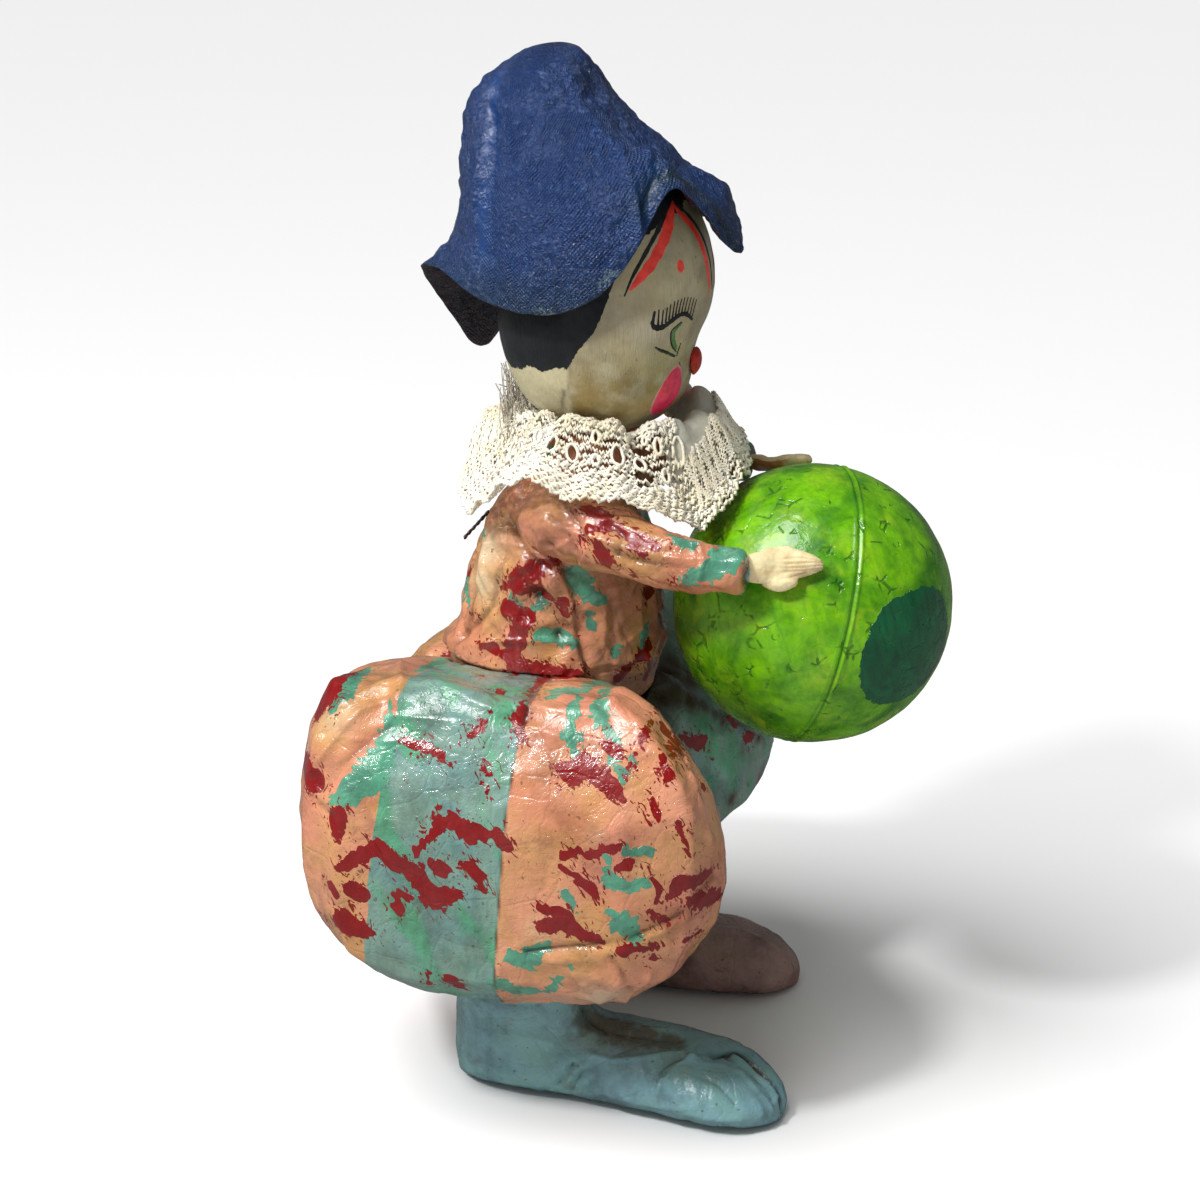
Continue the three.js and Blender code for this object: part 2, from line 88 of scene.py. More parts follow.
class ClownColours(bpy.types.PropertyGroup):
    """The paints and papers, with the painted glint and the painted underside shade of the hat."""

    hat: colour("Hat", "Blue of the stiffened cloth", (0.002, 0.026, 0.120))
    # A painted glint: lighter blue for light that catches the weave.
    hat_glint: colour("Hat, rubbed", "Blue where the weave is rubbed", (0.065, 0.150, 0.360))
    hat_underside_shade: colour("Hat lining", "Near black underside of the hat", (0.002, 0.008, 0.030))
    # Painted shade: near black for the underside of the hat.
    hair: colour("Hair", "Painted hair", (0.005, 0.008, 0.010))
    skin: colour("Skin", "Varnished cream of the head", (0.52, 0.465, 0.28))
    skin_aged: colour("Skin, aged", "Yellowed varnish along the jaw", (0.30, 0.205, 0.045))
    hand: colour("Hands", "Cream of the hands", (0.80, 0.69, 0.40))
    red: colour("Arch red", "Red of the painted arches and the nose", (0.72, 0.035, 0.020))
    black: colour("Line black", "Black of the painted lines", (0.010, 0.010, 0.010))
    green: colour("Eye green", "Green of the eyes", (0.07, 0.16, 0.05))
    pink: colour("Cheek pink", "Pink of the cheeks", (0.60, 0.010, 0.075))
    kraft: colour("Kraft paper", "Salmon of the kraft paper", (0.68, 0.29, 0.165))
    kraft_ochre: colour("Kraft paper, ochre", "Ochre tint of the paper", (0.58, 0.29, 0.105))
    panel: colour("Panel", "Grey teal of the paper panel", (0.20, 0.33, 0.26))
    patch: colour("Patches", "Teal of the brushed patches", (0.10, 0.36, 0.22))
    splatter: colour("Splatter", "Dark red of the splatters", (0.20, 0.002, 0.003))
    ball: colour("Ball", "Lime green of the ball", (0.195, 0.54, 0.002))
    ball_deep: colour("Ball, deep", "Darker green washes on the ball", (0.018, 0.150, 0.002))
    ball_spot: colour("Ball spot", "Dark green brushed spot", (0.004, 0.085, 0.030))
    shoe_aqua: colour("Right shoe", "Blue teal of the right shoe", (0.20, 0.40, 0.385))
    shoe_plum: colour("Left shoe", "Mauve brown of the left shoe", (0.36, 0.22, 0.19))
    lace: colour("Lace", "Off-white of the crocheted lace", (0.97, 0.93, 0.80))


class ClownSizes(bpy.types.PropertyGroup):
    """The depths of the relief and the make of the lace."""

    grain_mm: FloatProperty(
        name="Mesh grain", description="Edge length of the finest meshes", default=0.82, min=0.4, max=3
    )
    crush_mm: FloatProperty(
        name="Crush", description="Depth of the folds in crushed paper", default=0.55, min=0, max=3
    )
    thread_mm: FloatProperty(
        name="Thread", description="Radius of the lace's thread", default=0.47, min=0.1, max=1
    )
    strip_mm: FloatProperty(
        name="Lace strip", description="Length of the lace when flat", default=330, min=100, max=900
    )
    strip_width_mm: FloatProperty(
        name="Lace width", description="Width of the lace strip", default=33, min=5, max=80
    )
    motifs: IntProperty(
        name="Lace motifs", description="Repeats of the pattern along the strip", default=32, min=4, max=80
    )


def colours():
    return bpy.context.scene.clown_colours


def sizes():
    return bpy.context.scene.clown_sizes


# ---- Meshes -------------------------------------------------------------------------------------


def add_object(name, mesh, material=None, replaces=(), slot=None):
    """Links a mesh as a piece that rides on the figure's one body."""
    made = bpy.data.objects.new(name, mesh)
    bpy.context.scene.collection.objects.link(made)
    if material:
        made.data.materials.append(material)
    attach(made, "root")
    if replaces:
        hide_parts(*replaces)
    return made


def apply_modifiers(made):
    """Bakes an object's modifiers into its own mesh."""
    graph = bpy.context.evaluated_depsgraph_get()
    mesh = bpy.data.meshes.new_from_object(made.evaluated_get(graph))
    made.modifiers.clear()
    old, made.data = made.data, mesh
    bpy.data.meshes.remove(old)


def mesh_of(shape, name):
    mesh = bpy.data.meshes.new(name)
    shape.to_mesh(mesh)
    shape.free()
    return mesh


def smooth_faces(mesh):
    mesh.polygons.foreach_set("use_smooth", [True] * len(mesh.polygons))


def tree_of(mesh):
    """A tree that finds the nearest place on a mesh, and where a ray meets it."""
    corners = [corner.co[:] for corner in mesh.vertices]
    return BVHTree.FromPolygons(corners, [face.vertices[:] for face in mesh.polygons])


def copy_of(node):
    """A merged copy of a solid's loose triangles, with its quads put together again."""
    shape = bmesh.new()
    shape.from_mesh(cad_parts[node].data)
    bmesh.ops.remove_doubles(shape, verts=shape.verts, dist=2e-6)
    bmesh.ops.join_triangles(
        shape, faces=shape.faces, angle_face_threshold=0.7, angle_shape_threshold=0.9
    )
    return mesh_of(shape, node)


def fine_piece(node, name, slot, material, grain=0, smoothing=0, levels=2):
    """A finer form of a solid: rounded, and where a grain is given also remeshed with even edges of that
    length and smoothed. Returns it with its points and normals."""
    made = add_object(name, copy_of(node), replaces=[node], slot=slot)
    if levels:
        rounder = made.modifiers.new("rounder", "SUBSURF")
        rounder.levels = rounder.render_levels = levels
    if grain:
        even = made.modifiers.new("even", "REMESH")
        even.mode = "VOXEL"
        even.voxel_size = grain * MM
        smooth = made.modifiers.new("smooth", "SMOOTH")
        smooth.factor = 0.5
        smooth.iterations = smoothing
    apply_modifiers(made)
    smooth_faces(made.data)
    made.data.materials.clear()
    made.data.materials.append(material)
    return made, *points_of(made)


def points_of(made):
    """A mesh's points and normals as two arrays, in millimetres."""
    count = len(made.data.vertices)
    points = np.empty(count * 3)
    normals = np.empty(count * 3)
    made.data.vertices.foreach_get("co", points)
    made.data.vertices.foreach_get("normal", normals)
    return points.reshape(-1, 3) / MM, normals.reshape(-1, 3)


def move_points(made, points):
    made.data.vertices.foreach_set("co", (points * MM).ravel())
    made.data.update()


def raise_points(made, heights, points, normals):
    move_points(made, points + normals * heights[:, None])


def store(made, name, values):
    """Keeps one number for each point, for a material to read."""
    layer = made.data.attributes.new(name, "FLOAT", "POINT")
    layer.data.foreach_set("value", np.asarray(values, dtype=np.float32))


def bell(distance, width):
    return np.exp(-((distance / width) ** 2))


def ramp(values, low, high):
    share = np.clip((values - low) / (high - low), 0, 1)
    return share * share * (3 - 2 * share)


def cloud(points, size, seed):
    """Soft noise from -1 to 1 with lumps of the given size."""
    places = points / size + np.array([seed * 7.13, seed * 3.71, seed * 1.37])
    return np.array([noise.noise(Vector(place)) for place in places]) * NOISE_GAIN


def crushed(points, size, seed, folds=7):
    """Flat facets that meet in sharp folds, as in paper that was crushed and smoothed out again."""
    dice = np.random.default_rng(seed)
    warp = np.stack([cloud(points, size * 2.2, seed + k) for k in range(3)], axis=1)
    bent = points + warp * size * 0.7
    total = np.zeros(len(points))
    for _ in range(folds):
        across = dice.normal(size=3)
        across /= np.linalg.norm(across)
        wave = bent @ across / (size * dice.uniform(0.8, 1.9)) + dice.uniform()
        total += np.abs(wave % 1 * 2 - 1) - 0.5
    return total / math.sqrt(folds)


def nearest_on(points, line):
    """For each point, the nearest place on a line of points, and the line's direction there."""
    line = np.asarray(line, dtype=float)
    best = np.full(len(points), 1e9)
    place = np.zeros((len(points), 3))
    along = np.zeros((len(points), 3))
    for start, end in zip(line[:-1], line[1:]):
        run = end - start
        share = np.clip((points - start) @ run / (run @ run), 0, 1)
        foot = start + share[:, None] * run
        distance = np.linalg.norm(points - foot, axis=1)
        closer = distance < best
        best[closer] = distance[closer]
        place[closer] = foot[closer]
        along[closer] = run / np.linalg.norm(run)
    return best, place, along


def crease(points, line, width, height):
    """A sharp raised fold, or a pressed one where the height is below zero, along a line."""
    distance, _, _ = nearest_on(points, line)
    return height * np.exp(-(np.sqrt(distance**2 + 0.03) - 0.17) / width)


def folded(points, folds):
    """The heights of many folds. A fold is a line with its width and its height."""
    return sum(crease(points, rounded_line(line), width, height) for line, width, height in folds)


def pressed(points, folds, width, depth):
    """How deep each point lies in the pressed folds, for a material to darken."""
    lines = [line for line, _, height in folds if height < 0]
    return folded(points, [(line, width, depth) for line in lines])


def creases(points, count, seed, length, height, width=0.5):
    """Short straight folds, raised and pressed, at places picked from the points."""
    dice = np.random.default_rng(seed)
    heights = np.zeros(len(points))
    for centre in points[dice.choice(len(points), count)]:
        way = dice.normal(size=3)
        near = points - centre
        off = np.abs(near @ (way / np.linalg.norm(way)))
        fold = np.exp(-off / width) * bell(np.linalg.norm(near, axis=1), length * dice.uniform(0.5, 1.3))
        heights += dice.choice([-0.8, 1]) * height * dice.uniform(0.4, 1) * fold
    return heights


def painted(points, marks):
    """How far inside a painted mark each point is, in millimetres. A mark is a line of places, each
    [x, y, z, radius], or [x, z, radius] for a mark that shows from the side."""
    inside = np.full(len(points), OUTSIDE)
    for mark in marks:
        mark = np.asarray(mark, dtype=float)
        mark = np.vstack([mark, mark]) if len(mark) == 1 else mark
        near = points if mark.shape[1] == 4 else points[:, [0, 2]]
        for start, end in zip(mark[:-1], mark[1:]):
            run = end[:-1] - start[:-1]
            share = np.clip((near - start[:-1]) @ run / max(run @ run, 1e-9), 0, 1)
            distance = np.linalg.norm(near - start[:-1] - share[:, None] * run, axis=1)
            inside = np.maximum(inside, start[-1] + share * (end[-1] - start[-1]) - distance)
    return inside


def flicked(points, count, seed, size, where):
    """Marks of paint that was flicked on: ragged blots, each with a tail and a few drops beside it."""
    dice = np.random.default_rng(seed)
    marks = []
    for centre in points[dice.choice(np.flatnonzero(where), count)]:
        way = dice.normal(size=3)
        way /= np.linalg.norm(way)
        reach = size * dice.uniform(0.4, 1.2)
        bend = dice.normal(size=3) * reach * 0.5
        steps = [centre - way * reach, centre, centre + way * reach + bend]
        widths = reach * dice.uniform([0.2, 0.55, 0.1], [0.6, 0.95, 0.5])
        marks.append([(*place, width) for place, width in zip(steps, widths)])
        for _ in range(3):
            drop = centre + dice.normal(size=3) * reach * 1.6
            marks.append([(*drop, 0.12 * reach), (*(drop + way * reach * 0.5), 0.05 * reach)])
    return marks


def overlap(points, normals, line, height, reach, edge=0.35):
    """A sheet's edge that lies on top of another sheet: raised on the line's left side, seen from outside."""
    distance, place, along = nearest_on(points, rounded_line(line))
    side = np.einsum("ij,ij->i", points - place, np.cross(normals, along))
    return height * ramp(side, -edge, edge) * bell(distance, reach) * (side > -edge)


def spots(points, places):
    """How near each point is to the nearest of some places, from 0 to 1. A place is [x, y, z, radius]."""
    nearness = np.zeros(len(points))
    for *centre, radius in places:
        distance = np.linalg.norm(points - np.array(centre), axis=1)
        nearness = np.maximum(nearness, bell(distance, radius))
    return nearness


def grid_patch(shape, columns, rows, place):
    """A grid of faces whose corners go where place(u, v) says, with u and v from 0 to 1."""
    made = bmesh.ops.create_grid(shape, x_segments=columns, y_segments=rows, size=0.5)
    for corner in made["verts"]:
        corner.co = place(corner.co.x + 0.5, corner.co.y + 0.5)


def rounded_line(line, steps=4):
    """Evenly spaced points on a smooth curve through the given ones."""
    line = [Vector(point) for point in line]
    ends = [line[0] * 2 - line[1], *line, line[-1] * 2 - line[-2]]
    made = []
    for i in range(1, len(ends) - 2):
        for k in range(steps):
            t = k / steps
            a, b, c, d = ends[i - 1 : i + 3]
            bend, twist = 2 * a - 5 * b + 4 * c - d, 3 * b - a - 3 * c + d
            made.append(0.5 * (2 * b + (c - a) * t + bend * t**2 + twist * t**3))
    made.append(line[-1])
    return made


def tubes(name, lines, radius, sides=0, closed=False):
    """A mesh of round threads that follow lists of points, in millimetres."""
    curve = bpy.data.curves.new(name, "CURVE")
    curve.dimensions = "3D"
    curve.bevel_depth = radius * MM
    curve.bevel_resolution = sides
    curve.use_fill_caps = not closed
    for line in lines:
        spline = curve.splines.new("POLY")
        spline.points.add(len(line) - 1)
        flat = np.ones((len(line), 4))
        flat[:, :3] = np.asarray(line) * MM
        spline.points.foreach_set("co", flat.ravel())
        spline.use_cyclic_u = closed
        spline.use_smooth = True
    carrier = bpy.data.objects.new(name, curve)
    bpy.context.scene.collection.objects.link(carrier)
    graph = bpy.context.evaluated_depsgraph_get()
    mesh = bpy.data.meshes.new_from_object(carrier.evaluated_get(graph))
    bpy.data.objects.remove(carrier)
    bpy.data.curves.remove(curve)
    mesh.name = name
    return mesh


# ---- Shader nodes -------------------------------------------------------------------------------


class Nodes:
    """Adds nodes to a tree and joins them up."""

    def __init__(self, tree):
        self.tree = tree

    def add(self, kind, *values, **settings):
        node = self.tree.nodes.new(kind)
        for key, value in settings.items():
            setattr(node, key, value)
        for socket, value in zip(node.inputs, values):
            self.feed(socket, value)
        return node

    def feed(self, socket, value):
        if isinstance(value, bpy.types.NodeSocket):
            self.tree.links.new(value, socket)
        elif value is not None:
            if socket.type == "RGBA" and len(value) == 3:
                value = (*value, 1)
            socket.default_value = value

    def relief(self, socket, normal):
        """Gives a Principled shader's paint and its varnish the same relief."""
        self.feed(socket["Normal"], normal)
        self.feed(socket["Coat Normal"], normal)

    def math(self, operation, *values):
        return self.add("ShaderNodeMath", *values, operation=operation).outputs[0]

    def times(self, *values):
        return self.math("MULTIPLY", *values)

    def plus(self, *values):
        return self.math("ADD", *values)

    def minus(self, *values):
        return self.math("SUBTRACT", *values)

    def most(self, *values):
        return self.math("MAXIMUM", *values)

    def mix(self, share, first, second, blend="MIX"):
        node = self.add("ShaderNodeMix", data_type="RGBA", blend_type=blend)
        self.feed(node.inputs[0], share)
        self.feed(node.inputs[6], first)
        self.feed(node.inputs[7], second)
        return node.outputs[2]

    def tint(self, base, mask, share, colour):
        """The base with some of another colour over it where the mask is."""
        return self.mix(self.times(mask, share), base, colour)

    def ramp(self, value, low, high, to_low=0.0, to_high=1.0):
        node = self.add("ShaderNodeMapRange", value, low, high, to_low, to_high)
        node.interpolation_type = "SMOOTHSTEP"
        return node.outputs[0]

    def noise(self, vector, size, detail=3.0, roughness=0.5, distortion=0.0):
        """Noise with lumps of the given size in millimetres."""
        node = self.add("ShaderNodeTexNoise")
        self.feed(node.inputs["Vector"], vector)
        if isinstance(size, bpy.types.NodeSocket):
            self.feed(node.inputs["Scale"], self.math("DIVIDE", 1.0, size))
        else:
            node.inputs["Scale"].default_value = 1 / size
        node.inputs["Detail"].default_value = detail
        node.inputs["Roughness"].default_value = roughness
        node.inputs["Distortion"].default_value = distortion
        return node.outputs["Fac"]

    def cells(self, vector, size, feature="F1"):
        """How far each place is from the middle or the edge of a cell of the given size in millimetres."""
        node = self.add("ShaderNodeTexVoronoi", feature=feature)
        self.feed(node.inputs["Vector"], vector)
        node.inputs["Scale"].default_value = 1 / size
        return node.outputs["Distance"]

    def attribute(self, name):
        return self.add("ShaderNodeAttribute", attribute_name=name, attribute_type="GEOMETRY").outputs["Fac"]

    def space(self, stretch=(1, 1, 1), turn=(0, 0, 0)):
        """The piece's own coordinates in millimetres, turned and then stretched."""
        place = self.add("ShaderNodeTexCoord").outputs["Object"]
        turned = self.add("ShaderNodeMapping", place)
        turned.inputs["Rotation"].default_value = [math.radians(angle) for angle in turn]
        scaled = self.add("ShaderNodeVectorMath", turned.outputs[0], operation="MULTIPLY")
        scaled.inputs[1].default_value = [1000 / share for share in stretch]
        return scaled.outputs[0]

    def bump(self, height, depth, normal=None):
        """A bump whose full height is the given depth in millimetres."""
        node = self.add("ShaderNodeBump")
        node.inputs["Strength"].default_value = 1
        node.inputs["Distance"].default_value = depth * MM
        self.feed(node.inputs["Height"], height)
        self.feed(node.inputs["Normal"], normal)
        return node.outputs[0]

    def group(self, made, *values):
        return self.add("ShaderNodeGroup", *values, node_tree=made).outputs[0]

    def mottle(self, place, first, second, size, spread):
        return self.group(mottle_group(), place, first, second, size, spread)

    def splatter(self, place, inside, size, ragged, specks):
        return self.group(splatter_group(), place, inside, size, ragged, specks)

    def grime(self, place, shade, amount):
        return self.group(grime_group(), place, shade, amount)

    def crinkle(self, place, size):
        return self.group(crinkle_group(), place, size)


def once(kind, name):
    """Lets a group or a material be built only the first time that it is asked for."""

    def kept(build):
        return lambda: getattr(bpy.data, kind).get(name) or build(name)

    return kept


def new_group(name, takes, gives):
    """A shader node group with named sockets, its node adder, its inputs and its one output."""
    tree = bpy.data.node_groups.new(name, "ShaderNodeTree")
    for label, kind, default in takes:
        socket = tree.interface.new_socket(label, in_out="INPUT", socket_type=kind)
        if default is not None:
            socket.default_value = default
    label, kind = gives
    tree.interface.new_socket(label, in_out="OUTPUT", socket_type=kind)
    add = Nodes(tree)
    return tree, add, add.add("NodeGroupInput").outputs, add.add("NodeGroupOutput").inputs[0]


@once("node_groups", "Mottle")
def mottle_group(name):
    """Two colours that run into each other in clouds."""
    tree, add, takes, gives = new_group(
        name,
        [
            ("Place", "NodeSocketVector", None),
            ("First", "NodeSocketColor", (1, 1, 1, 1)),
            ("Second", "NodeSocketColor", (0, 0, 0, 1)),
            ("Size", "NodeSocketFloat", 20.0),
            ("Spread", "NodeSocketFloat", 0.15),
        ],
        ("Colour", "NodeSocketColor"),
    )
    place, first, second, size, spread = list(takes)[:5]
    broad = add.noise(place, size, 5.0, 0.6, 0.4)
    mask = add.ramp(broad, add.minus(0.5, spread), add.plus(0.5, spread))
    add.feed(gives, add.mix(mask, first, second))
    return tree


@once("node_groups", "Splatter")
def splatter_group(name):
    """Paint that was flicked on: its edge is ragged, and loose specks and dry streaks lie round it."""
    tree, add, takes, gives = new_group(
        name,
        [
            ("Place", "NodeSocketVector", None),
            ("Inside", "NodeSocketFloat", 0.0),
            ("Size", "NodeSocketFloat", 2.4),
            ("Ragged", "NodeSocketFloat", 1.0),
            ("Specks", "NodeSocketFloat", 0.3),
        ],
        ("Mask", "NodeSocketFloat"),
    )
    place, inside, size, ragged, specks = list(takes)[:5]
    broad = add.minus(add.noise(place, size, 1.2, 0.4, 1.6), 0.5)
    fine = add.minus(add.noise(place, add.times(size, 0.40), 1.0, 0.4, 1.0), 0.5)
    torn = add.plus(add.times(broad, 6.5), add.times(fine, 1.1))
    blots = add.ramp(add.plus(inside, add.times(torn, ragged)), -0.07, 0.07)
    dots = add.noise(place, add.times(size, 0.42), 2.0, 0.5, 1.5)
    near = add.ramp(inside, -5.0, -0.5, 0.0, 0.17)
    limit = add.minus(0.80, add.times(specks, add.plus(near, 0.06)))
    dots = add.ramp(add.minus(dots, limit), 0.0, 0.015)
    add.feed(gives, add.most(blots, add.times(dots, add.ramp(specks, 0.0, 0.05))))
    return tree


@once("node_groups", "Grime")
def grime_group(name):
    """Dark specks and pinholes, and a faint uneven film."""
    tree, add, takes, gives = new_group(
        name,
        [
            ("Place", "NodeSocketVector", None),
            ("Colour", "NodeSocketColor", (1, 1, 1, 1)),
            ("Amount", "NodeSocketFloat", 0.3),
        ],
        ("Colour", "NodeSocketColor"),
    )
    place, shade, amount = list(takes)[:3]
    specks = add.ramp(add.noise(place, 1.3, 1.0, 0.3), 0.73, 0.78)
    film = add.ramp(add.noise(place, 14.0, 5.0, 0.65), 0.42, 0.75)
    filmed = add.mix(add.times(film, amount), shade, (0.10, 0.06, 0.03), "MULTIPLY")
    add.feed(gives, add.tint(filmed, specks, amount, (0.03, 0.015, 0.008)))
    return tree


def bent_place(add, place):
    """The same place, moved a little by noise, so that cells lose their straight edges."""
    node = add.add("ShaderNodeTexNoise")
    add.feed(node.inputs["Vector"], place)
    node.inputs["Scale"].default_value = 0.12
    drift = add.add("ShaderNodeVectorMath", node.outputs["Color"], operation="SCALE")
    drift.inputs["Scale"].default_value = 5.0
    return add.add("ShaderNodeVectorMath", place, drift.outputs[0], operation="ADD").outputs[0]


@once("node_groups", "Crinkle")
def crinkle_group(name):
    """The fine relief of varnished paper: soft lumps, short creases and a little grain."""
    tree, add, takes, gives = new_group(
        name,
        [("Place", "NodeSocketVector", None), ("Size", "NodeSocketFloat", 6.0)],
        ("Height", "NodeSocketFloat"),
    )
    place, size = list(takes)[:2]
    lumps = add.noise(place, size, 4.0, 0.55, 0.6)
    bent = add.noise(place, add.times(size, 0.6), 3.0, 0.5, 1.5)
    folds = add.ramp(add.math("ABSOLUTE", add.minus(bent, 0.5)), 0.0, 0.07)
    flats = add.cells(bent_place(add, place), 8.0)
    grain = add.noise(place, 0.6, 3.0, 0.6)
    cracks = add.ramp(add.cells(bent_place(add, place), 13.0, "DISTANCE_TO_EDGE"), 0.0, 0.05)
    flats = add.plus(flats, add.times(cracks, 0.5))
    height = add.plus(add.times(lumps, 0.6), add.times(folds, 0.05))
    height = add.plus(height, add.times(flats, 0.20))
    add.feed(gives, add.plus(height, add.times(grain, 0.08)))
    return tree


def new_material(name, roughness, coat=0.0, coat_roughness=0.1, **plain):
    """An empty painted material, its node adder and its Principled shader."""
    made = bpy.data.materials.new(name)
    made.use_nodes = True
    add = Nodes(made.node_tree)
    shader = made.node_tree.nodes["Principled BSDF"]
    shader.inputs["Roughness"].default_value = roughness
    shader.inputs["Coat Weight"].default_value = coat
    shader.inputs["Coat Roughness"].default_value = coat_roughness
    for label, value in plain.items():
        shader.inputs[label.replace("_", " ").title()].default_value = value
    return made, add, shader.inputs


# ---- Shared finishes ----------------------------------------------------------------------------


@once("materials", "painted_paper")
def paper_material(name):
    """Salmon kraft paper with a teal panel, brushed patches and dark red splatters under varnish, and painted
    shade in its folds and gaps.
    """
    shades = colours()
    made, add, socket = new_material(name, 0.40, coat=0.7, coat_roughness=0.07)
    place = add.space()
    slanted = add.space(stretch=(1, 1, 2.6), turn=(0, 32, 0))
    base = add.mottle(place, shades.kraft, shades.kraft_ochre, 24.0, 0.12)
    rosy = add.ramp(add.noise(place, 30.0, 4.0, 0.55), 0.44, 0.62)
    base = add.tint(base, rosy, 0.65, (0.62, 0.215, 0.135))
    bare = add.ramp(add.noise(place, 19.0, 5.0, 0.6), 0.56, 0.74)
    base = add.tint(base, bare, 0.45, (0.66, 0.42, 0.22))
    fibre = add.ramp(add.noise(add.space(stretch=(4, 1, 1), turn=(0, 20, 0)), 0.9, 3.0, 0.6), 0.35, 0.7)
    base = add.tint(base, fibre, 0.16, (0.30, 0.10, 0.045))
    # Pale patches: on the right trouser leg these are painted highlights on folds that face the light; on the
    # jacket's back they are partly pale paper, partly painted highlight.
    base = add.mix(add.attribute("pale"), base, (0.74, 0.60, 0.38))
    panel = add.mottle(place, shades.panel, (0.15, 0.29, 0.27), 15.0, 0.16)
    minty = add.ramp(add.noise(slanted, 10.0, 4.0, 0.55), 0.49, 0.64)
    panel = add.tint(panel, minty, 0.80, (0.085, 0.37, 0.19))
    brushed = add.ramp(add.noise(add.space(stretch=(1, 1, 6)), 1.6, 3.0), 0.4, 0.7)
    panel = add.tint(panel, brushed, 0.22, (0.10, 0.15, 0.10))
    edge = add.plus(add.attribute("panel"), add.times(add.attribute("torn"), add.noise(place, 5.0)))
    in_panel = add.ramp(edge, -0.12, 0.12)
    base = add.mix(in_panel, base, panel)
    teal = add.splatter(place, add.attribute("teal"), 4.2, 0.85, 0.0)
    teal_shade = add.mottle(place, shades.patch, (0.075, 0.24, 0.165), 6.0, 0.2)
    base = add.mix(teal, base, teal_shade)
    base = add.grime(place, base, 0.5)
    red = add.splatter(slanted, add.attribute("red"), 3.4, 0.60, 0.9)
    red_shade = add.mottle(place, shades.splatter, (0.25, 0.003, 0.003), 4.0, 0.2)
    base = add.mix(red, base, red_shade)
    # Painted shade: the folds, hems and gaps that a piece marks are darkened to a deep brown.
    base = add.tint(base, add.attribute("dark"), 0.9, (0.055, 0.018, 0.008))
    add.feed(socket["Base Color"], base)
    add.feed(socket["Roughness"], add.ramp(add.noise(place, 8.0, 4.0), 0.35, 0.70, 0.24, 0.55))
    normal = add.bump(add.crinkle(place, 8.0), 0.9)
    normal = add.bump(add.most(red, add.times(teal, 0.5)), 0.14, normal)
    add.relief(socket, normal)
    return made


def keep_zones(made, dark, panel=OUTSIDE, pale=0, **marks):
    """Stores the numbers that the paper's material reads, among them the painted shade of folds and gaps."""
    zones = {"panel": panel, "torn": 0, "pale": pale, "dark": np.clip(dark, 0, 1), **marks}
    for name, value in zones.items():
        store(made, name, np.broadcast_to(value, len(made.data.vertices)))


# ---- Hat ----------------------------------------------------------------------------------------


HAT_RIDGES = [
    # line, width, height
    ([(-43, -4, 273), (-40, -13, 268), (-37.5, -18, 262), (-37, -21.5, 252), (-39, -24, 241)], 0.9, 1.7),
    ([(-36, -14, 270), (-33.5, -19.5, 264), (-32.8, -23.5, 254), (-32.5, -27.5, 240),
      (-31, -31, 226)], 2.0, -1.5),
    ([(-34, -14, 271), (-29.5, -20, 265), (-28, -24.5, 254), (-28, -29, 240), (-27, -32, 228)], 0.9, 1.3),
    ([(-22, -13, 276), (-13.4, -15, 270.6), (-7.4, -16.7, 266), (-1, -20, 260)], 1.1, 1.4),
    ([(-1, -20, 260), (2.5, -23.6, 254), (5, -27, 246), (6.5, -29, 240)], 1.0, 1.8),
    ([(5.0, -27.5, 246), (6.2, -29.6, 240), (7.6, -31, 234), (8.0, -31.5, 230)], 0.6, 1.3),
    ([(9, -22, 256), (7.5, -25.5, 249), (8.5, -27.5, 243)], 2.6, -1.4),
    ([(8.8, -23.3, 256.5), (11.6, -20.6, 258), (14.7, -14, 256), (18.4, -9.5, 251.5),
      (23, -8, 245)], 1.3, 1.6),
    ([(13, -12, 254), (14, 0, 255.5), (13, 12, 254)], 2.6, -2.4),
    ([(22, -11, 245), (24, 0, 247.5), (22, 11, 246)], 3.2, 2.8),
    ([(-40, 12, 268), (-38, 20, 255), (-38, 25, 241)], 1.1, 1.5),
    ([(-20, 16, 274), (-10, 21, 262), (-4, 27, 248), (-2, 31, 236)], 1.2, 1.4),
    ([(-30, 18, 268), (-27, 26, 252), (-25, 31, 236)], 2.2, -1.2),
    ([(4, 3, 266), (15, 5, 256), (23, 7, 246)], 1.4, 0.8),
    ([(-52, -16, 240), (-47, -19, 236), (-40, -24, 232)], 1.4, 1.0),
]


HAT_AXIS = (-11, -12)  # x of the hat's middle at its foot, and how far that moves up to its top
HAT_SMOOTH = [(9, -21, 257), (7.6, -25, 250), (9, -27.5, 243), (9.5, -29, 238)]
HAT_ARCH = [
    (6, -26, 248), (8.8, -23.3, 253.5), (11.6, -20.6, 254.9), (14.7, -14, 252.5), (21.6, -8.2, 242.8),
    (28.5, -6.7, 232.5),
]
HAT_WORN = [
    [(-3, -33, 230, 0.4), (1, -33, 232, 0.2)], [(-18, -35, 222, 0.6), (-15, -35, 221, 0.4)],
    [(-43, -20, 236, 0.3)],
]
THREADS_MM = (0.95, 1.05)  # the pitch of the weave down and round the hat


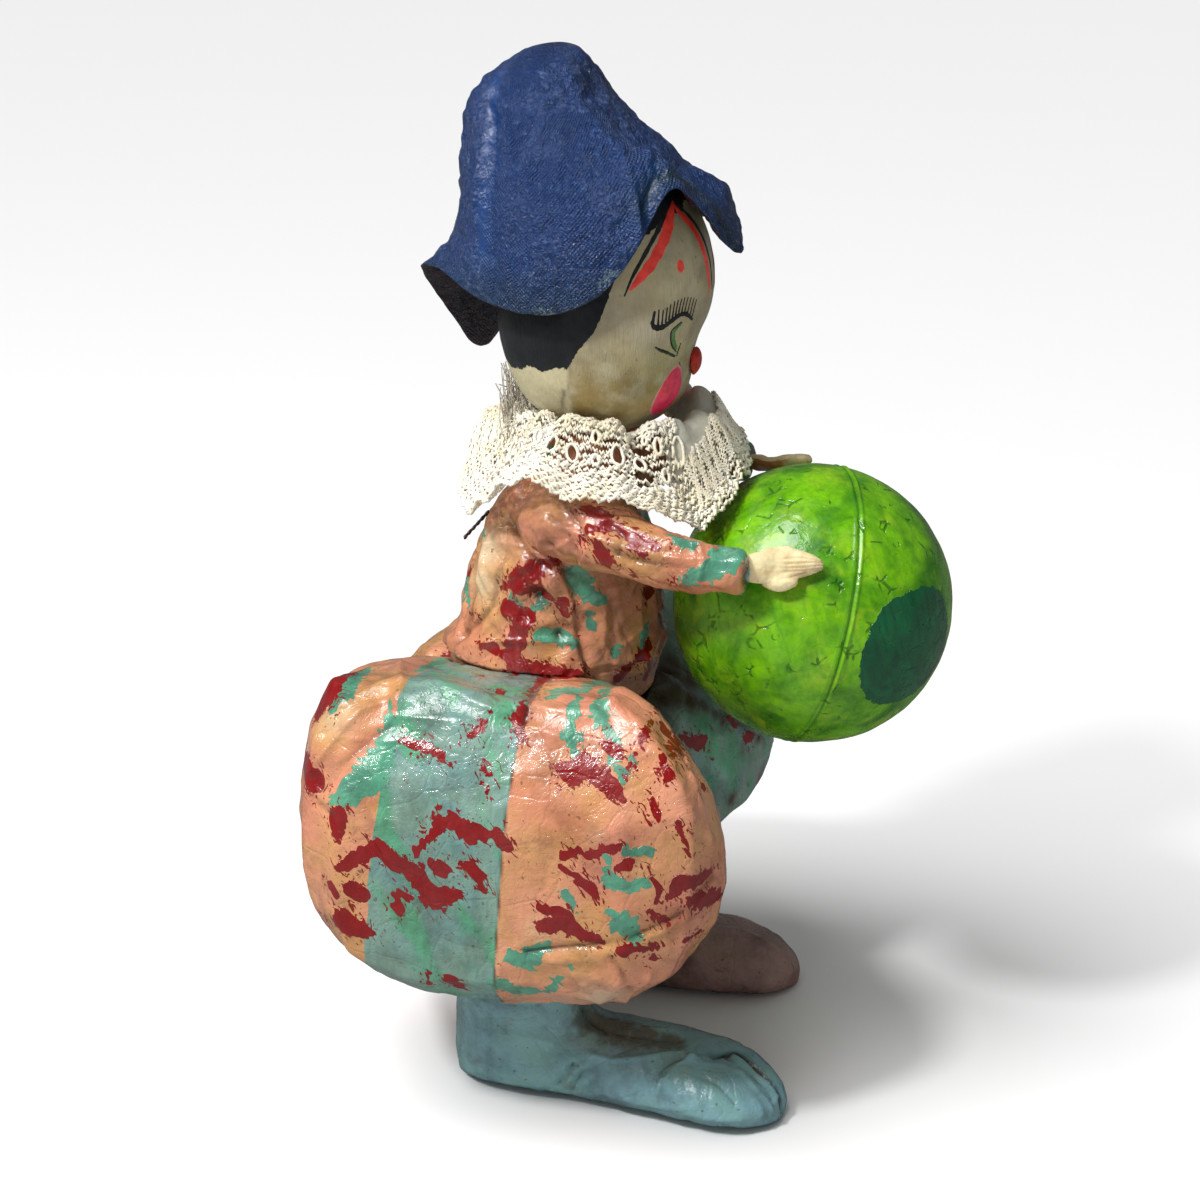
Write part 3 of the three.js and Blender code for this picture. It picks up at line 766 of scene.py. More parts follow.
def hat_material():
    shades = colours()
    made, add, socket = new_material("hat_paint", 0.42, coat=0.8, coat_roughness=0.06)
    socket["Specular IOR Level"].default_value = 0.25
    place = add.space()
    weft = add.math("SINE", add.times(add.attribute("down"), 2 * math.pi / THREADS_MM[0]))
    warp = add.math("SINE", add.times(add.attribute("around"), 2 * math.pi / THREADS_MM[1]))
    weave = add.times(weft, warp)
    grain = add.noise(place, 1.25, 4.0, 0.62, 0.6)
    lumps = add.noise(place, 3.6, 4.0, 0.6)
    folded = add.attribute("folded")
    shown = add.ramp(add.noise(place, 12.0, 2.0), 0.35, 0.6)
    relief = add.plus(add.times(grain, 0.85), add.times(lumps, 0.7))
    relief = add.plus(relief, add.times(add.times(weave, shown), 0.10))
    relief = add.times(relief, add.minus(1.0, add.times(folded, 0.7)))
    # Painted glints: the raised grain is painted a lighter blue in broad patches, as light catching the
    # weave, but not in the smooth folds.
    glinting = add.ramp(grain, 0.52, 0.70)
    broad = add.ramp(add.noise(place, 17.0, 4.0, 0.6), 0.38, 0.68)
    glinting = add.times(glinting, add.plus(0.16, add.times(broad, 0.60)))
    glinting = add.times(glinting, add.minus(1.0, folded))
    base = add.mix(glinting, shades.hat, shades.hat_glint)
    base = add.tint(base, folded, 0.6, (0.006, 0.046, 0.17))
    # Painted shade: the rolled arch, the hat's lower part and the front lobe's far end are darkened to near
    # black teal.
    base = add.mix(add.attribute("edge"), base, (0.003, 0.022, 0.045))
    worn = add.splatter(place, add.attribute("worn"), 2.0, 1.6, 0.0)
    base = add.tint(base, worn, 0.40, (0.17, 0.27, 0.27))
    # Painted shade: the cloth that faces inwards, under the hat, is painted near black.
    inside = add.attribute("inside")
    base = add.mix(inside, base, shades.hat_underside_shade)
    add.feed(socket["Base Color"], base)
    add.feed(socket["Roughness"], add.ramp(grain, 0.3, 0.7, 0.62, 0.30))
    add.relief(socket, add.bump(relief, 1.5))
    return made


class CLOWN_OT_hat(bpy.types.Operator):
    """Model the draped hat of stiffened cloth"""

    bl_idname = "clown.hat"
    bl_label = "Hat"

    def execute(self, context):
        made, points, normals = fine_piece("hat", "hat_cloth", "blue_cloth", hat_material(), levels=3)
        low, high = box_of("hat")
        share = np.clip((points[:, 2] - low[2]) / (high[2] - low[2]), 0, 1)
        flat = np.stack([points[:, 0] - HAT_AXIS[0] - HAT_AXIS[1] * share, points[:, 1]], axis=1)
        reach = np.linalg.norm(flat, axis=1)
        outward = np.column_stack([0.75 * flat / np.maximum(reach, 1)[:, None], np.full(len(points), 0.66)])
        outward /= np.linalg.norm(outward, axis=1)[:, None]
        # Where the cloth faces inwards, for the painted shade under the hat.
        inside = ramp(-np.einsum("ij,ij->i", normals, outward), -0.05, 0.35)
        heights = 1.0 * crushed(points, 17, 4) + 0.35 * cloud(points, 7, 9) + 0.40 * cloud(points, 2.6, 2)
        heights += folded(points, HAT_RIDGES)
        away = ramp(reach, 3, 12)
        move_points(made, points + outward * (heights * away)[:, None])
        clear = ramp(points[:, 0], -44, -38)
        hollow = clear * bell(points[:, 0] + 35.2, 2.3) * (points[:, 1] < -8) * ramp(points[:, 2], 228, 236)
        store(made, "folded", np.clip(hollow + crease(points, HAT_SMOOTH, 3.6, 1), 0, 1))
        store(made, "worn", painted(points, HAT_WORN))
        store(made, "inside", inside)
        # Painted shade along the rolled arch, on the hat's lower part and at the front lobe's far end.
        arch_shade = crease(points, rounded_line(HAT_ARCH), 2.6, 1.0)
        low_shade = 0.6 * ramp(-points[:, 2], -236, -222) + 0.6 * ramp(points[:, 0], 27, 31)
        store(made, "edge", np.clip(arch_shade + low_shade, 0, 0.95))
        turn = np.arctan2(flat[:, 1], flat[:, 0])
        store(made, "around", turn * 34)
        store(made, "down", np.hypot(points[:, 2] - high[2], reach * 0.6))
        return {"FINISHED"}


# ---- Head ---------------------------------------------------------------------------------------


HAIR_EDGE = [
    # [degrees round the head from the front, height of the hair's edge]
    (-180, 203), (-150, 202.5), (-140, 201.5), (-130, 203.0), (-121, 203.6), (-112, 203.2), (-105, 204.2),
    (-100, 205.8),
    (-95, 208.5), (-90, 211.5), (-86, 214.5), (-82, 218.5), (-77, 224), (-72, 230), (-66, 237), (0, 246),
    (66, 237),
    (72, 230), (78, 223), (84, 216), (92, 210), (102, 206), (114, 204.5), (126, 204), (140, 202.5),
    (155, 201.5), (180, 203),
]
JAW_SEAM = [(-12.2, -27, 207.5), (-12.9, -25.6, 202), (-13.8, -22.9, 196), (-15.1, -19.6, 191.4)]
JAW_NICK = [(-14.6, -23.6, 198.5), (-15.4, -21.9, 195), (-16.3, -20.0, 191.6)]


def head_material():
    shades = colours()
    made, add, socket = new_material("varnished_skin", 0.40, coat=0.35, coat_roughness=0.18)
    place = add.space()
    streaks = add.space(stretch=(0.5, 0.5, 9))
    base = add.mottle(place, shades.skin, (0.42, 0.37, 0.25), 17.0, 0.16)
    aged = add.times(add.attribute("aged"), add.ramp(add.noise(place, 9.0, 5.0, 0.6), 0.30, 0.62))
    base = add.mix(aged, base, shades.skin_aged)
    base = add.mix(add.attribute("pale"), base, (0.66, 0.60, 0.36))
    lines = add.ramp(add.noise(streaks, 1.0, 3.0, 0.6), 0.35, 0.75)
    base = add.tint(base, lines, 0.28, (0.33, 0.29, 0.20))
    base = add.grime(place, base, 0.40)
    # Painted shade in the nick and along the seam at the jaw.
    base = add.tint(base, add.attribute("dark"), 0.9, (0.05, 0.03, 0.015))
    torn = add.times(add.minus(add.noise(place, 1.6, 3.0, 0.6), 0.5), 2.4)
    hair = add.ramp(add.plus(add.attribute("hair"), torn), -0.10, 0.10)
    hair_shade = add.mottle(place, shades.hair, (0.014, 0.018, 0.021), 9.0, 0.2)
    base = add.mix(hair, base, hair_shade)
    add.feed(socket["Base Color"], base)
    add.feed(socket["Roughness"], add.ramp(add.noise(place, 6.0), 0.35, 0.7, 0.30, 0.46))
    relief = add.plus(add.times(lines, 0.35), add.noise(place, 4.0, 4.0, 0.55))
    normal = add.bump(relief, 0.22)
    add.relief(socket, add.bump(hair, 0.15, normal))
    return made


def paint_material(name, shade, variation=0.25, roughness=0.38):
    """Thick brushed paint of one colour."""
    made, add, socket = new_material(name, roughness, coat=0.3, coat_roughness=0.15)
    place = add.space()
    light = [min(1, value * (1 + 2 * variation) + 0.012) for value in shade]
    base = add.mottle(place, shade, light, 2.4, 0.2)
    add.feed(socket["Base Color"], base)
    add.relief(socket, add.bump(add.noise(place, 0.7, 3.0, 0.6), 0.06))
    return made


class CLOWN_OT_head(bpy.types.Operator):
    """Model the egg-shaped head with its painted hair"""

    bl_idname = "clown.head"
    bl_label = "Head"

    def execute(self, context):
        made, points, normals = fine_piece("head", "head_shell", "face_paint", head_material(), 0.8, 10)
        turn = np.degrees(np.arctan2(points[:, 1], points[:, 0] - HEAD_CENTRE[0]))
        heights = 0.22 * cloud(points, 14, 3) + 0.07 * cloud(points, 4, 5)
        heights += overlap(points, normals, JAW_SEAM, 0.45, 5)
        raise_points(made, heights, points, normals)
        scallops = 0.7 * np.abs(np.sin(np.radians(turn * 9))) + 0.5 * np.sin(np.radians(turn * 23 + 40))
        edge = np.interp(turn, *zip(*HAIR_EDGE)) + scallops
        store(made, "hair", points[:, 2] - edge)
        jaw = bell(points[:, 2] - 195, 10) * ramp(points[:, 0], -18, -8)
        store(made, "aged", np.clip(jaw + 0.25, 0, 1))
        nape = ramp(-points[:, 0], 12.8, 13.6) * (points[:, 2] < 212)
        store(made, "pale", 0.8 * nape)
        # Painted shade in the jaw's nick and beside the seam's raised edge.
        dark = crease(points, JAW_NICK, 0.45, 1.0) + crease(points, JAW_SEAM, 0.22, 0.45)
        store(made, "dark", np.clip(dark, 0, 1))
        return {"FINISHED"}


# The marks round the right eye. Each stroke is its points with the width of the brush at each point.
ARCH_RED = [
    [(11.2, -9.2, 246.4, 0.6), (10.6, -12.2, 242.6, 2.8), (10.0, -16.4, 237.8, 3.4), (7.9, -20.3, 232.7, 3.1),
     (4.9, -23.3, 228.6, 2.3), (2.8, -24.7, 226.0, 0.6)],
    [(11.0, -9.6, 245.8, 0.5), (12.8, -9.0, 243.0, 2.0), (15.4, -7.2, 239.6, 2.2), (18.1, -5.8, 234.6, 2.4),
     (19.6, -4.7, 229.4, 2.2), (19.9, -3.9, 224.2, 1.5), (19.6, -3.9, 221.0, 0.3)],
]
ARCH_BLACK = [
    [(10.9, -9.3, 246.8, 0.5), (9.4, -13.1, 243.5, 1.2), (8.6, -16.8, 240.2, 1.4), (6.9, -19.9, 236.4, 1.2),
     (3.7, -24.0, 229.8, 1.0), (1.6, -25.5, 224.6, 0.4)],
    [(11.2, -9.0, 246.6, 0.4), (13.6, -7.2, 243.4, 1.2), (16.6, -4.8, 239.2, 1.5), (19.0, -3.2, 234.0, 1.5),
     (20.3, -2.2, 228.4, 1.1), (20.5, -1.6, 222.0, 0.4)],
]
BROW = [(8.3, -22.9, 217.8, 0.9), (9.0, -22.6, 216.3, 1.7), (10.8, -21.2, 216.1, 1.5),
        (12.5, -19.4, 217.1, 1.2),
        (14.1, -16.8, 218.3, 1.2), (15.6, -14.6, 218.2, 1.3), (17.0, -12.4, 216.3, 0.9)]
LASHES = [
    # foot and tip of each hair of the brow
    ((8.4, -22.9, 217.0), (8.9, -21.9, 220.3), 0.75), ((9.8, -22.0, 216.6), (9.8, -21.1, 220.6), 0.45),
    ((10.7, -21.3, 216.6), (10.7, -20.2, 220.4), 0.42), ((11.5, -20.5, 217.1), (11.6, -19.3, 220.9), 0.42),
    ((12.2, -19.7, 217.5), (12.4, -18.5, 221.5), 0.40), ((12.9, -18.8, 218.0), (13.2, -17.4, 222.1), 0.40),
    ((13.5, -17.9, 218.4), (13.9, -16.5, 222.3), 0.38), ((14.1, -17.0, 218.7), (14.6, -15.5, 222.4), 0.38),
    ((14.7, -16.1, 218.7), (15.3, -14.6, 222.6), 0.36), ((15.3, -15.2, 218.5), (16.0, -13.6, 222.5), 0.36),
    ((15.9, -14.3, 218.1), (16.7, -12.6, 222.2), 0.34), ((16.4, -13.4, 217.5), (17.3, -11.5, 221.8), 0.34),
    ((16.8, -12.7, 216.9), (17.8, -10.4, 221.2), 0.32),
]
EYE_GREEN = [(14.9, -16.1, 216.3, 0.5), (13.7, -18.6, 214.6, 1.2), (13.3, -18.6, 212.6, 1.5),
             (13.2, -17.2, 210.6, 1.3),
             (13.4, -15.6, 209.0, 0.4)]
EYE_BLACK = [
    [(14.8, -16.4, 216.6, 0.3), (13.3, -19.3, 214.9, 0.5), (12.8, -19.3, 212.7, 0.6),
     (12.8, -17.9, 210.3, 0.6),
     (13.3, -15.4, 208.3, 0.4)],
    [(9.0, -22.0, 210.9, 0.4), (10.1, -20.9, 209.9, 0.9), (11.7, -18.9, 208.7, 1.0),
     (13.1, -15.4, 207.0, 0.8)],
    [(14.2, -15.0, 210.8, 0.3), (13.7, -14.8, 208.8, 0.7), (13.3, -14.5, 206.9, 0.5)],
    [(13.4, -12.4, 204.9, 0.5), (13.5, -11.2, 203.5, 0.3)],
]


CHEEK = (11.6, -13.2, 196.0)
CHEEK_TILT = -8
DOT = (14.2, -15.1, 230.7)


def head_surface():
    """A function that finds the nearest place and normal on the painted head."""
    tree = tree_of(bpy.data.objects["head_shell"].data)
    return lambda point: tree.find_nearest(point * MM)[:2]


def brush_stroke(shape, nearest, stroke, thickness, mirror):
    """Lays one stroke on the head: a strip whose edges sink in and whose middle stands proud."""
    side = -1 if mirror else 1
    centre = [Vector((x, y * side, z)) for x, y, z, _ in stroke]
    line = rounded_line(centre, 6)
    widths = np.interp(np.linspace(0, len(stroke) - 1, len(line)), range(len(stroke)), [s[3] for s in stroke])
    last = len(line) - 1

    def place(u, v):
        i = round(u * last)
        along = (line[min(i + 1, last)] - line[max(i - 1, 0)]).normalized()
        _, normal = nearest(line[i])
        across = normal.cross(along).normalized()
        wobble = 1 + 0.10 * math.sin(i * 1.7) + 0.07 * math.sin(i * 0.6 + 2)
        spot, normal = nearest(line[i] + across * (v - 0.5) * widths[i] * wobble)
        return spot + normal * MM * thickness * (1 - 3 * abs(v - 0.5) ** 1.5)

    grid_patch(shape, last, 4, place)


def blot(shape, nearest, centre, half, tilt, thickness, mirror):
    """Lays a filled oval of paint on the head."""
    side = -1 if mirror else 1
    middle = Vector((centre[0], centre[1] * side, centre[2]))
    _, normal = nearest(middle)
    level = UP.cross(normal).normalized()
    rise = normal.cross(level)
    turn = math.radians(tilt * side)
    first = level * math.cos(turn) + rise * math.sin(turn)
    second = rise * math.cos(turn) - level * math.sin(turn)

    def place(u, v):
        x, y = 2 * u - 1, 2 * v - 1
        disc_x = x * math.sqrt(max(0, 1 - y * y / 2))
        disc_y = y * math.sqrt(max(0, 1 - x * x / 2))
        spot, normal = nearest(middle + first * disc_x * half[0] + second * disc_y * half[1])
        return spot + normal * MM * thickness * (1 - 1.8 * (disc_x**2 + disc_y**2) ** 4)

    grid_patch(shape, 26, 26, place)


class CLOWN_OT_face(bpy.types.Operator):
    """Paint the arches, brows, eyes and cheeks, and set the nose"""

    bl_idname = "clown.face"
    bl_label = "Face"

    def execute(self, context):
        shades = colours()
        nearest = head_surface()
        lashes = [[(*foot, width * 1.5), (*tip, width)] for foot, tip, width in LASHES]
        layers = {
            # shade, thickness, strokes, blots
            "cheek_rims": ((0.50, 0.20, 0.17), 0.05, [], [(CHEEK, (6.1, 9.3), CHEEK_TILT)]),
            "cheeks": (shades.pink, 0.12, [], [(CHEEK, (5.8, 8.9), CHEEK_TILT)]),
            "arches_red": (shades.red, 0.10, ARCH_RED, [(DOT, (1.25, 1.8), 0)]),
            "eyes_green": (shades.green, 0.09, [EYE_GREEN], []),
            "lines_black": (shades.black, 0.13, [*ARCH_BLACK, BROW, *EYE_BLACK, *lashes], []),
        }
        for name, (shade, thickness, strokes, blots) in layers.items():
            shape = bmesh.new()
            for mirror in (False, True):
                for stroke in strokes:
                    brush_stroke(shape, nearest, stroke, thickness, mirror)
                for centre, half, tilt in blots:
                    blot(shape, nearest, centre, half, tilt, thickness, mirror)
            self.turn_outwards(shape)
            mesh = mesh_of(shape, name)
            smooth_faces(mesh)
            add_object(name, mesh, paint_material(name, tuple(shade)), slot="face_paint")
        red = paint_material("nose_red", (0.32, 0.010, 0.003), 0.3, 0.25)
        nose, points, normals = fine_piece("nose", "nose_bead", "red_paint", red, 0.45, 6)
        raise_points(nose, 0.3 + 0.08 * cloud(points, 3, 4), points, normals)
        return {"FINISHED"}

    @staticmethod
    def turn_outwards(shape):
        centre = Vector(HEAD_CENTRE) * MM
        shape.normal_update()
        inward = [f for f in shape.faces if f.normal.dot(f.calc_center_median() - centre) < 0]
        bmesh.ops.reverse_faces(shape, faces=inward)


# ---- Lace collar --------------------------------------------------------------------------------

COLLAR_CENTRE = np.array([-8.1, 0.0])
NECK_REACH = 17.4
NET = (-38, 50)  # degrees from the front between which the lace is an open net over its lining
PLEATS = [
    # degrees from the front, width in degrees, depth of the fold
    (-61, 7, 6.5), (-84, 4, 1.6), (-112, 6, 3.0), (-133, 5, 3.6), (-158, 6, 4.2), (178, 6, 3.4),
    (150, 6, 4.4),
    (122, 7, 3.6), (96, 6, 4.6), (66, 7, 4.0), (32, 6, 2.6), (4, 5, 1.8), (-24, 5, 2.4),
]


def degrees_apart(one, other):
    return (np.asarray(one) - other + 180) % 360 - 180


class Ruffle:
    """The waved surface that the lace lies on. at(along, across, lift) gives points on it, along and across
    from 0 to 1, and lift in millimetres above it."""

    STEPS = (720, 30)

    def __init__(self):
        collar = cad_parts["collar"].data
        tree = tree_of(collar)
        head = tree_of(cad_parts["head"].data)
        flat = np.array([corner.co[:2] for corner in collar.vertices]) / MM - COLLAR_CENTRE
        reach = np.linalg.norm(flat, axis=1)
        bins = np.round(np.degrees(np.arctan2(flat[:, 1], flat[:, 0])) / 5).astype(int) % 72
        edge = np.array([reach[bins == k].max() for k in range(72)])
        columns, rows = self.STEPS
        self.places = np.zeros((columns, rows + 1, 3))
        for i in range(columns):
            share = i / columns
            turn = 360 * share
            angle = math.radians(turn)
            edge_here = np.interp(share * 72, range(73), [*edge, edge[0]])
            pleat = sum(depth * bell(degrees_apart(turn, place), width) for place, width, depth in PLEATS)
            front = bell(degrees_apart(turn, 0), 34)
            crest = 6.6 + 3.6 * front - pleat
            for j in range(rows + 1):
                across = j / rows
                radius = NECK_REACH + (edge_here - 0.5 - NECK_REACH) * across
                x = COLLAR_CENTRE[0] + radius * math.cos(angle)
                y = COLLAR_CENTRE[1] + radius * math.sin(angle)
                hit = tree.ray_cast(Vector((x * MM, y * MM, 0.25)), Vector((0, 0, -1)))[0]
                height = hit.z / MM - 0.9 if hit else self.places[i, j - 1, 2] - 0.3
                over = head.ray_cast(Vector((x * MM, y * MM, 0.17)), UP)[0]
                frill = math.sin(angle * 17 + 2 * math.sin(angle * 3)) + 0.6 * math.sin(angle * 29 + 1)
                puff = bell(across - 0.26 - 0.36 * front, 0.24 + 0.10 * front)
                puff *= 1 - 0.5 * bell(across, 0.08)
                height += crest * puff + frill * (0.3 + 0.6 * across)
                ceiling = over.z / MM - 1.2 if over else 999
                self.places[i, j] = (x, y, min(height, ceiling))
        around = np.roll(self.places, -1, axis=0) - np.roll(self.places, 1, axis=0)
        outwards = np.gradient(self.places, axis=1)
        normals = np.cross(around, outwards)
        normals /= np.linalg.norm(normals, axis=2)[:, :, None]
        self.normals = np.where(normals[:, :, 2:] < 0, -normals, normals)

    def at(self, along, across, lift=0.0):
        columns, rows = self.STEPS
        along = np.asarray(along, dtype=float) % 1 * columns
        across = np.clip(np.asarray(across, dtype=float), 0, 1.06) * rows
        i = np.floor(along).astype(int) % columns
        j = np.clip(np.floor(across).astype(int), 0, rows - 1)
        u = (along - np.floor(along))[:, None]
        v = (across - j)[:, None]
        nearby = []
        for table in (self.places, self.normals):
            one, two = table[i, j], table[(i + 1) % columns, j]
            three, four = table[i, j + 1], table[(i + 1) % columns, j + 1]
            nearby.append((one * (1 - u) + two * u) * (1 - v) + (three * (1 - u) + four * u) * v)
        return nearby[0] + nearby[1] * np.broadcast_to(lift, len(along))[:, None]


class Crochet:
    """Rows of thick, crooked thread along a strip, left open where the eyelets are. Places on the strip are
    (along, across) in millimetres."""

    ROW_MM = 1.18
    STITCH_MM = 0.78
    OPEN_NET = (0.58, 0.84)  # shares of the strip's width between which the front is an open net
    BARS = (0.56, 0.86)  # and those between which its crossed cords run
    BAR_PITCH_MM = 4.6

    def __init__(self, ruffle, strip):
        self.ruffle = ruffle
        self.length, self.width = strip.strip_mm, strip.strip_width_mm
        self.motif = strip.strip_mm / strip.motifs
        self.eyelets = []
        dice = np.random.default_rng(12)
        for k in range(strip.motifs):
            middle = (k + 0.5) * self.motif
            level = self.width * 0.50 + dice.uniform(-0.8, 0.8)
            if k % 3 == 0:
                self.eyelets += [(middle, level - 2.6, 1.5, 1.1), (middle + 0.6, level + 2.4, 1.4, 1.0)]
            else:
                self.eyelets.append((middle, level, 2.5, 1.9 if k % 3 == 1 else 1.5))
            self.eyelets.append((middle + self.motif / 2, level - 5.6, 0.9, 0.7))
            self.eyelets.append((middle + self.motif / 2, level + 5.4, 0.8, 0.6))
        self.lines = []

    def place(self, along, across, lift):
        along, across = np.asarray(along) / self.length, np.asarray(across) / self.width
        self.lines.append(self.ruffle.at(along, across, lift))

    def scallop(self, along, level):
        depth = 0.9 * ramp(np.asarray(level), self.width - 7, self.width - 0.5)
        return depth * (np.abs(np.sin(np.pi * along / (self.motif / 2))) - 0.7)

    def row(self, level, number):
        count = int(self.length / self.STITCH_MM) // 2 * 2
        step = np.arange(count + 1)
        along = step / count * self.length
        turn = along / self.length * 360
        net = ramp(degrees_apart(turn, NET[0]), 0, 6) * ramp(-degrees_apart(turn, NET[1]), 0, 6)
        share = level / self.width
        open_net = net * (self.OPEN_NET[0] < share < self.OPEN_NET[1])
        swing = np.where(step % 2, 0.5, -0.5) * (0.72 + 1.5 * open_net)
        drift = 0.35 * np.sin(along * 0.35 + number * 1.9)
        across = level + swing + drift + self.scallop(along, level)
        lift = 0.26 * np.where((step + number) % 4 < 2, 1, -1) + 0.12 * np.sin(along * 2.1 + number)
        kept = np.ones(count + 1, dtype=bool)
        for centre, height, half_along, half_across in self.eyelets:
            off = ((along - centre) / half_along) ** 2 + ((level - height) / half_across) ** 2
            kept &= (open_net > 0.5) | (off > 1)
        kept &= ~((net > 0.5) & (share < self.OPEN_NET[0]))
        in_pleat = np.abs(degrees_apart(turn, PLEATS[0][0])) < 4.5
        kept &= ~(in_pleat & (0.12 < share < 0.72) & (number % 3 > 0))
        if number % 2:
            kept &= open_net < 0.5
        for run in np.split(step, np.flatnonzero(np.diff(kept.astype(int))) + 1):
            if kept[run[0]] and len(run) > 3:
                self.place(along[run], across[run], lift[run])

    def ring(self, centre, height, half_along, half_across):
        """The cord that binds an eyelet's edge. The open net at the front has none."""
        turn = centre / self.length * 360
        if degrees_apart(turn, NET[0]) > 0 and degrees_apart(turn, NET[1]) < 0:
            return
        angles = np.linspace(0, 2 * math.pi, 15)
        along = centre + (half_along + 0.15) * np.cos(angles)
        across = height + (half_across + 0.25) * np.sin(angles)
        self.place(along, across, 0.12 + 0.12 * np.cos(angles * 7))

    def bars(self):
        """The crossed cords of the open net at the front."""
        first, last = ((angle % 360) / 360 * self.length for angle in NET)
        top, bottom = (self.width * share for share in self.BARS)
        pitch = self.BAR_PITCH_MM
        for k in range(int(((last - first) % self.length) / pitch) + 1):
            left = first + k * pitch
            for start, end in ((left, left + pitch), (left + pitch, left)):
                for side in (-0.5, 0.5):
                    step = np.arange(26)
                    swing = np.where(step % 2, 0.5, -0.5)
                    along = start + (end - start) * step / 25 + swing * 0.8 + side
                    self.place(along, top + (bottom - top) * step / 25, 0.35 + 0.2 * swing)


def lace_material():
    shades = colours()
    made, add, socket = new_material("lace_cotton", 0.85)
    place = add.space()
    base = add.mottle(place, shades.lace, (0.88, 0.80, 0.60), 11.0, 0.14)
    twist = add.noise(place, 0.42, 3.0, 0.6)
    # Painted shade: the low parts of the thread's twist are a little darker.
    base = add.mix(add.ramp(twist, 0.35, 0.7), add.mix(0.16, base, (0.66, 0.57, 0.40)), base)
    add.feed(socket["Base Color"], base)
    add.relief(socket, add.bump(twist, 0.14))
    socket["Sheen Weight"].default_value = 0.2
    return made


def lining_material():
    made, add, socket = new_material("lining_film", 0.30, coat=0.6, transmission_weight=0.25)
    place = add.space()
    base = add.mottle(place, (0.80, 0.78, 0.68), (0.56, 0.57, 0.44), 8.0, 0.2)
    clear = add.ramp(add.noise(place, 6.0, 4.0, 0.6), 0.58, 0.70)
    base = add.tint(base, clear, 0.5, (0.66, 0.62, 0.50))
    add.feed(socket["Base Color"], base)
    add.relief(socket, add.bump(add.noise(place, 3.0, 4.0), 0.5))
    return made


class CLOWN_OT_collar(bpy.types.Operator):
    """Crochet the gathered lace collar from thread, with its lining, loose threads and wire"""

    bl_idname = "clown.collar"
    bl_label = "Lace collar"

    def execute(self, context):
        strip = sizes()
        ruffle = Ruffle()
        lace = Crochet(ruffle, strip)
        rows = int(strip.strip_width_mm / lace.ROW_MM)
        for k in range(rows + 1):
            lace.row(0.4 + k * (strip.strip_width_mm - 0.6) / rows, k)
        for eyelet in lace.eyelets:
            lace.ring(*eyelet)
        lace.bars()
        mesh = tubes("lace_collar", lace.lines, strip.thread_mm)
        made = add_object("lace_collar", mesh, lace_material(), replaces=["collar"], slot="lace")
        lining = self.lining(ruffle)
        fringe = self.fringe(ruffle)
        self.wire()
        return {"FINISHED"}

    @staticmethod
    def lining(ruffle):
        """The stiff glossy film that stands up under the front of the lace."""
        shape = bmesh.new()
        first, last = (angle / 360 for angle in (NET[0] - 8, NET[1] + 8))

        def place(u, v):
            along = first + (last - first) * u
            edge = 0.86 + 0.06 * math.sin(u * 23) + 0.04 * math.sin(u * 51 + 1)
            puff = math.sin(math.pi * min(1, v * 1.5)) ** 2 * math.sin(math.pi * u) if v < 0.67 else 0
            return Vector(ruffle.at([along], [v * edge], -0.8 + puff)[0]) * MM

        grid_patch(shape, 130, 20, place)
        made = add_object("collar_lining", mesh_of(shape, "collar_lining"), lining_material(), slot="lace")
        thick = made.modifiers.new("thick", "SOLIDIFY")
        thick.thickness = 0.25 * MM
        apply_modifiers(made)
        smooth_faces(made.data)
        return made

    @staticmethod
    def fringe(ruffle):
        """Matted loose threads that stand up at the nape."""
        dice = np.random.default_rng(8)
        hairs = []
        for along, height, count in ((0.515, 12, 46), (0.54, 9, 30), (0.49, 8, 24), (0.57, 5, 14)):
            lean = np.array([dice.uniform(-0.12, 0.05), dice.normal() * 0.1, 1.0])
            for _ in range(count):
                foot = ruffle.at([along + dice.normal() * 0.012], [dice.uniform(0.1, 0.5)], 0.3)[0]
                length = height * dice.uniform(0.5, 1.25)
                curl = dice.normal(size=3) * [1.6, 1.6, 0.8]
                line = [foot + lean * length * t + curl * math.sin(3.6 * t) * t for t in np.linspace(0, 1, 7)]
                hairs.append(np.array(line))
        mesh = tubes("loose_threads", hairs, 0.16)
        shade = paint_material("thread_grey", (0.34, 0.31, 0.25), 0.4, 0.85)
        return add_object("loose_threads", mesh, shade, slot="lace")

    @staticmethod
    def wire():
        """The cut end of the twisted wire that ties the collar."""
        low, high = box_of("collar_wire")
        start = np.array([high[0] - 0.6, high[1] - 0.6, high[2] - 0.4])
        end = np.array([low[0] + 0.6, low[1] + 0.6, low[2] + 0.4])
        strands = []
        for phase in (0, math.pi):
            line = []
            for t in np.linspace(0, 1, 40):
                swing = 0.30 * np.array([0, math.cos(18 * t + phase), math.sin(18 * t + phase)])
                line.append(start + (end - start) * t + swing)
            strands.append(np.array(line))
        mesh = tubes("tie_wire", strands, 0.34, sides=1)
        made, add, socket = new_material("wire_steel", 0.45, Metallic=1.0)
        rust = add.ramp(add.noise(add.space(), 0.8, 3.0), 0.4, 0.65)
        add.feed(socket["Base Color"], add.mix(rust, (0.10, 0.09, 0.09), (0.06, 0.022, 0.012)))
        add_object("tie_wire", mesh, made, replaces=["collar_wire"], slot="steel")


# ---- Jacket -------------------------------------------------------------------------------------

